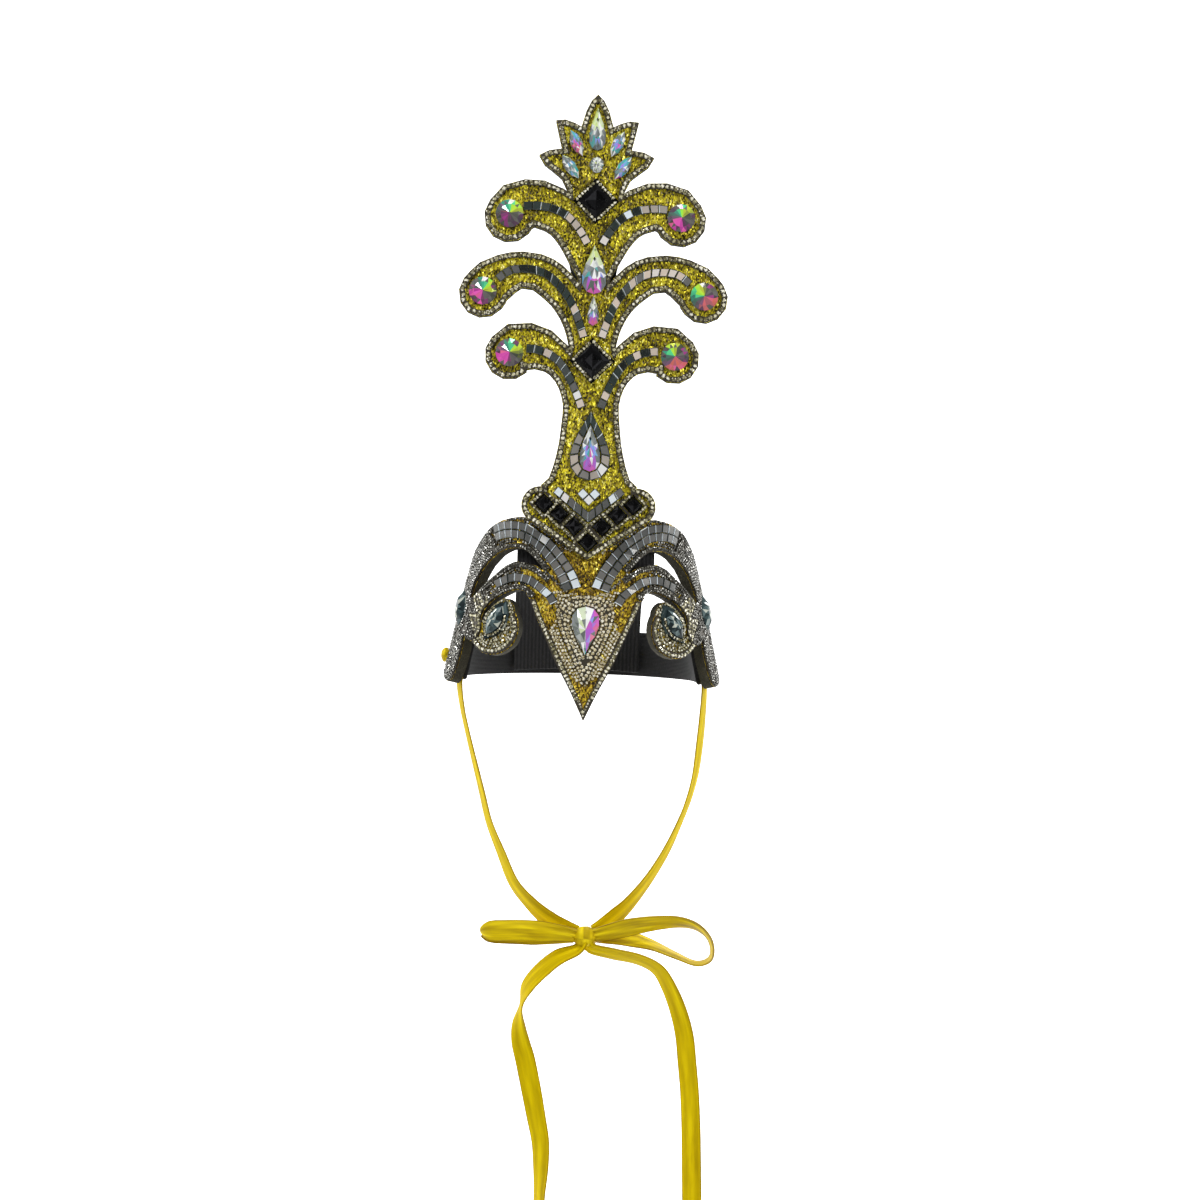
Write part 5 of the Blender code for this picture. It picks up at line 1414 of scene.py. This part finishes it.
TAIL_LEFT = [
    (-0.010, -0.150, -0.010, 60), (-0.062, -0.250, -0.0418, 56), (-0.194, -0.438, -0.070, 50),
    (-0.319, -0.500, -0.121, 48), (-0.415, -0.500, -0.180, 58), (-0.456, -0.500, -0.248, 84),
    (-0.469, -0.500, -0.317, 52), (-0.452, -0.500, -0.379, 28), (-0.417, -0.500, -0.441, 16),
    (-0.369, -0.500, -0.547, 16), (-0.328, -0.500, -0.646, 24), (-0.292, -0.500, -0.739, 34),
    (-0.285, -0.500, -0.832, 46), (-0.290, -0.500, -0.925, 60), (-0.292, -0.500, -1.000, 58),
]
TAIL_RIGHT = [
    (0.010, -0.150, -0.010, 40), (0.044, -0.250, -0.0385, 46), (0.212, -0.438, -0.055, 52),
    (0.394, -0.500, -0.073, 54), (0.535, -0.500, -0.109, 52), (0.623, -0.500, -0.177, 46),
    (0.693, -0.500, -0.261, 38), (0.739, -0.500, -0.348, 32), (0.763, -0.500, -0.447, 30),
    (0.785, -0.500, -0.547, 30), (0.802, -0.500, -0.677, 28), (0.812, -0.500, -0.814, 26),
    (0.820, -0.500, -0.935, 26), (0.824, -0.500, -0.997, 26),
]
print("ribbon points", sum(map(len, (SIDE_LEFT, SIDE_RIGHT, LOOP_LEFT, LOOP_RIGHT, TAIL_LEFT, TAIL_RIGHT))))

# %% A strip of satin along a route
RIBBON_WIDE = 0.012
RIBBON_THICK = 0.0006
ROUTE_STEP = 0.0016


def smooth_path(rows):
    """Points at even steps along a smooth curve through rows of x, y, z and turn."""
    rows = np.array(rows, float)
    guide = [2 * rows[0] - rows[1], *rows, 2 * rows[-1] - rows[-2]]
    path = []
    for before, start, end, after in zip(guide, guide[1:], guide[2:], guide[3:]):
        steps = max(1, round(np.linalg.norm((end - start)[:3]) / ROUTE_STEP))
        for t in np.arange(steps) / steps:
            bend = (2 * before - 5 * start + 4 * end - after) * t * t
            swing = (3 * start - before - 3 * end + after) * t ** 3
            path.append(0.5 * (2 * start + (end - before) * t + bend + swing))
    return np.array(path + [rows[-1]])


def satin_strip(name, rows, covers, narrow, finish=yellow_satin):
    """A closed thin strip along rows of x, y, z and turn. Narrow gives its width at shares of its length."""
    path = smooth_path(rows)
    ways = np.gradient(path[:, :3], axis=0)
    run = np.concatenate([[0.0], np.cumsum(np.linalg.norm(np.diff(path[:, :3], axis=0), axis=1))])
    shares, sizes = zip(*narrow)
    across = np.linspace(-1.0, 1.0, 13)
    rim = [(s, 0.5) for s in across] + [(s, -0.5) for s in across[::-1]]
    depth, facing_way = Vector((0, -1, 0)), None
    points, places = [], []
    for (x, y, z, turn), way, far in zip(path, ways, run):
        way = Vector(way).normalized()
        level = depth.cross(way)
        if level.length < 0.4 and facing_way:
            level = facing_way
        if facing_way and level.dot(facing_way) < 0:
            level = -level
        facing_way = level.normalized()
        wide = facing_way * math.cos(math.radians(turn)) + depth * math.sin(math.radians(turn))
        wide = (wide - way * wide.dot(way)).normalized()
        thick = way.cross(wide)
        if thick.dot(depth) < 0 and abs(turn) < 45:
            thick = -thick
        share = far / run[-1]
        size = np.interp(share, shares, sizes) * RIBBON_WIDE / 2
        squeeze = (1.0 - size * 2 / RIBBON_WIDE) * max(0.0, 1.0 - 4.0 * min(share, 1.0 - share))
        for s, side in rim:
            arch = 0.0005 * (1 - s * s) + squeeze * 0.0016 * math.cos(s * 9.0)
            hem = 1.25 if abs(s) > 0.9 else 1.0
            points.append(Vector((x, y, z)) + wide * (s * size) + thick * (arch + side * RIBBON_THICK * hem))
            places.append((s / 2 + 0.5, far))
    count, n = len(path), len(rim)
    polygons = [tuple(range(n))[::-1]]
    ring = [(k, (k + 1) % n, n + (k + 1) % n, n + k) for k in range(n)]
    for i in range(count - 1):
        polygons += shifted(ring, i * n)
    polygons.append(tuple(range((count - 1) * n, count * n)))
    made = add_piece(name, [tuple(p) for p in points], polygons, finish, covers)
    mesh = bmesh.new()
    mesh.from_mesh(made.data)
    bmesh.ops.recalc_face_normals(mesh, faces=mesh.faces)
    mesh.to_mesh(made.data)
    mesh.free()
    layer = made.data.uv_layers.new(name="cloth")
    for loop in made.data.loops:
        layer.data[loop.index].uv = places[loop.vertex_index]
    pick(made)
    bpy.ops.object.shade_smooth_by_angle(angle=math.radians(50))
    print(name, round(run[-1], 3), "m long")


def scaled(rows, scale, start=Vector((0, 0, 0))):
    """Rows in shares of a size, turned into metres from a start."""
    x, y, z = scale
    return [(start.x + a * x, start.y + b * y, start.z + c * z, turn) for a, b, c, turn in rows]


print("ribbon tools ready")

# %% Sides, loops and tails
def ribbon_top(name, sign):
    """Where the side ribbon starts: the middle of the solid's top."""
    corners = np.array([tuple(v.co) for v in nodes[name].data.vertices])
    top = corners[corners[:, 2] > corners[:, 2].max() - 0.0012].mean(axis=0)
    return (*top, -sign * 73)


SIDE_WIDTHS = [(0, 1), (0.90, 1), (1, 0.75)]
TAIL_WIDTHS = [(0, 0.7), (0.10, 1), (1, 1)]
ROUND_LOOP = [
    (0, 0.6), (0.2, 1), (0.43, 1), (0.455, 0.96), (0.468, 0.88), (0.480, 0.77), (0.490, 0.65), (0.504, 0.46),
    (0.518, 0.32), (0.530, 0.32), (0.542, 0.46), (0.553, 0.64), (0.566, 0.80), (0.581, 0.92), (0.61, 1),
    (0.8, 1), (1, 0.6),
]
PLAIN_LOOP = [(0, 0.6), (0.15, 1), (0.85, 1), (1, 0.6)]
for name, sign, rows in (("ribbon_left", -1, SIDE_LEFT), ("ribbon_right", 1, SIDE_RIGHT)):
    route = [ribbon_top(name, sign), *scaled(rows, SIDE_SCALE)]
    satin_strip(name + "_satin", route, [name], SIDE_WIDTHS, smooth_satin)
for name, rows in (("ribbon_tail_left", TAIL_LEFT), ("ribbon_tail_right", TAIL_RIGHT)):
    satin_strip(name + "_satin", scaled(rows, TAIL_SCALE, KNOT), [name], TAIL_WIDTHS, smooth_satin)
satin_strip("bow_left_satin", scaled(LOOP_LEFT, LOOP_SCALE, KNOT), ["bow"], ROUND_LOOP)
satin_strip("bow_right_satin", scaled(LOOP_RIGHT, LOOP_SCALE, KNOT), [], PLAIN_LOOP)

# %% [markdown]
# ## Knots
#
# A ribbon knot is a band that wraps over the squeezed ribbon: it is fuller in front, pinched at its ends and
# creased from end to end. It is shaped from a ball that is divided, squashed to the solid's size and drawn
# into folds that run round it.

# %% Knots of the ribbon
def ribbon_knot(label, low, high, covers, folds, lean):
    """A knot in a box, with a number of folds round it. Lean turns the folds."""
    deselect()
    bpy.ops.mesh.primitive_uv_sphere_add(segments=40, ring_count=28, radius=0.5, location=(0.0, 0.0, 0.0))
    made = bpy.context.active_object
    made.name = label
    bpy.ops.object.mode_set(mode="EDIT")
    bpy.ops.mesh.select_all(action="SELECT")
    bpy.ops.transform.rotate(value=math.pi / 2, orient_axis="Y", center_override=(0.0, 0.0, 0.0))
    bpy.ops.object.mode_set(mode="OBJECT")
    middle, size = (low + high) / 2, high - low
    for vert in made.data.vertices:
        x, y, z = vert.co
        turn = math.atan2(z, y)
        away = math.hypot(y, z) * 2
        fold = 1.0 + 0.055 * math.cos(turn * folds + x * 4.0 + lean)
        fold += 0.03 * math.cos(turn * (folds * 2 + 1) - x * 7)
        waist = 1.0 - 0.16 * math.exp(-(x / 0.10) ** 2) * (1 if z < 0 else 0.2)
        shape = abs(away) ** 0.15
        vert.co = Vector((
            middle.x + x * size.x * (0.93 + 0.07 * shape),
            middle.y + y * size.y * fold * waist,
            middle.z + z * size.z * fold * waist,
        ))
    layer = made.data.uv_layers[0]
    for loop in made.data.loops:
        spot = made.data.vertices[loop.vertex_index].co
        turn = math.atan2(spot.z - middle.z, spot.y - middle.y) / math.tau + 0.5
        layer.data[loop.index].uv = ((spot.x - low.x) / size.x * 0.86 + 0.07, turn * 0.04)
    made.data.materials.append(yellow_satin)
    bpy.ops.object.shade_smooth_by_angle(angle=math.radians(60))
    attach(made, "root")
    if covers:
        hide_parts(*covers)
    print(label, [round(v * 1000, 1) for v in size], "mm")


half = Vector((0.0140, 0.0110, 0.0130)) / 2
ribbon_knot("bow_knot", KNOT - half, KNOT + half, [], 5, 0.4)
low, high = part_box("ribbon_end_knot")
ribbon_knot("end_knot", low, high, ["ribbon_end_knot"], 4, 1.1)

# %% Sizes, and the finish
visual_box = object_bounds()
change = max(abs(a - b) for c, v in zip(cad_box, visual_box) for a, b in zip(c, v))
print("largest change", round(change * 1000, 2), "mm")
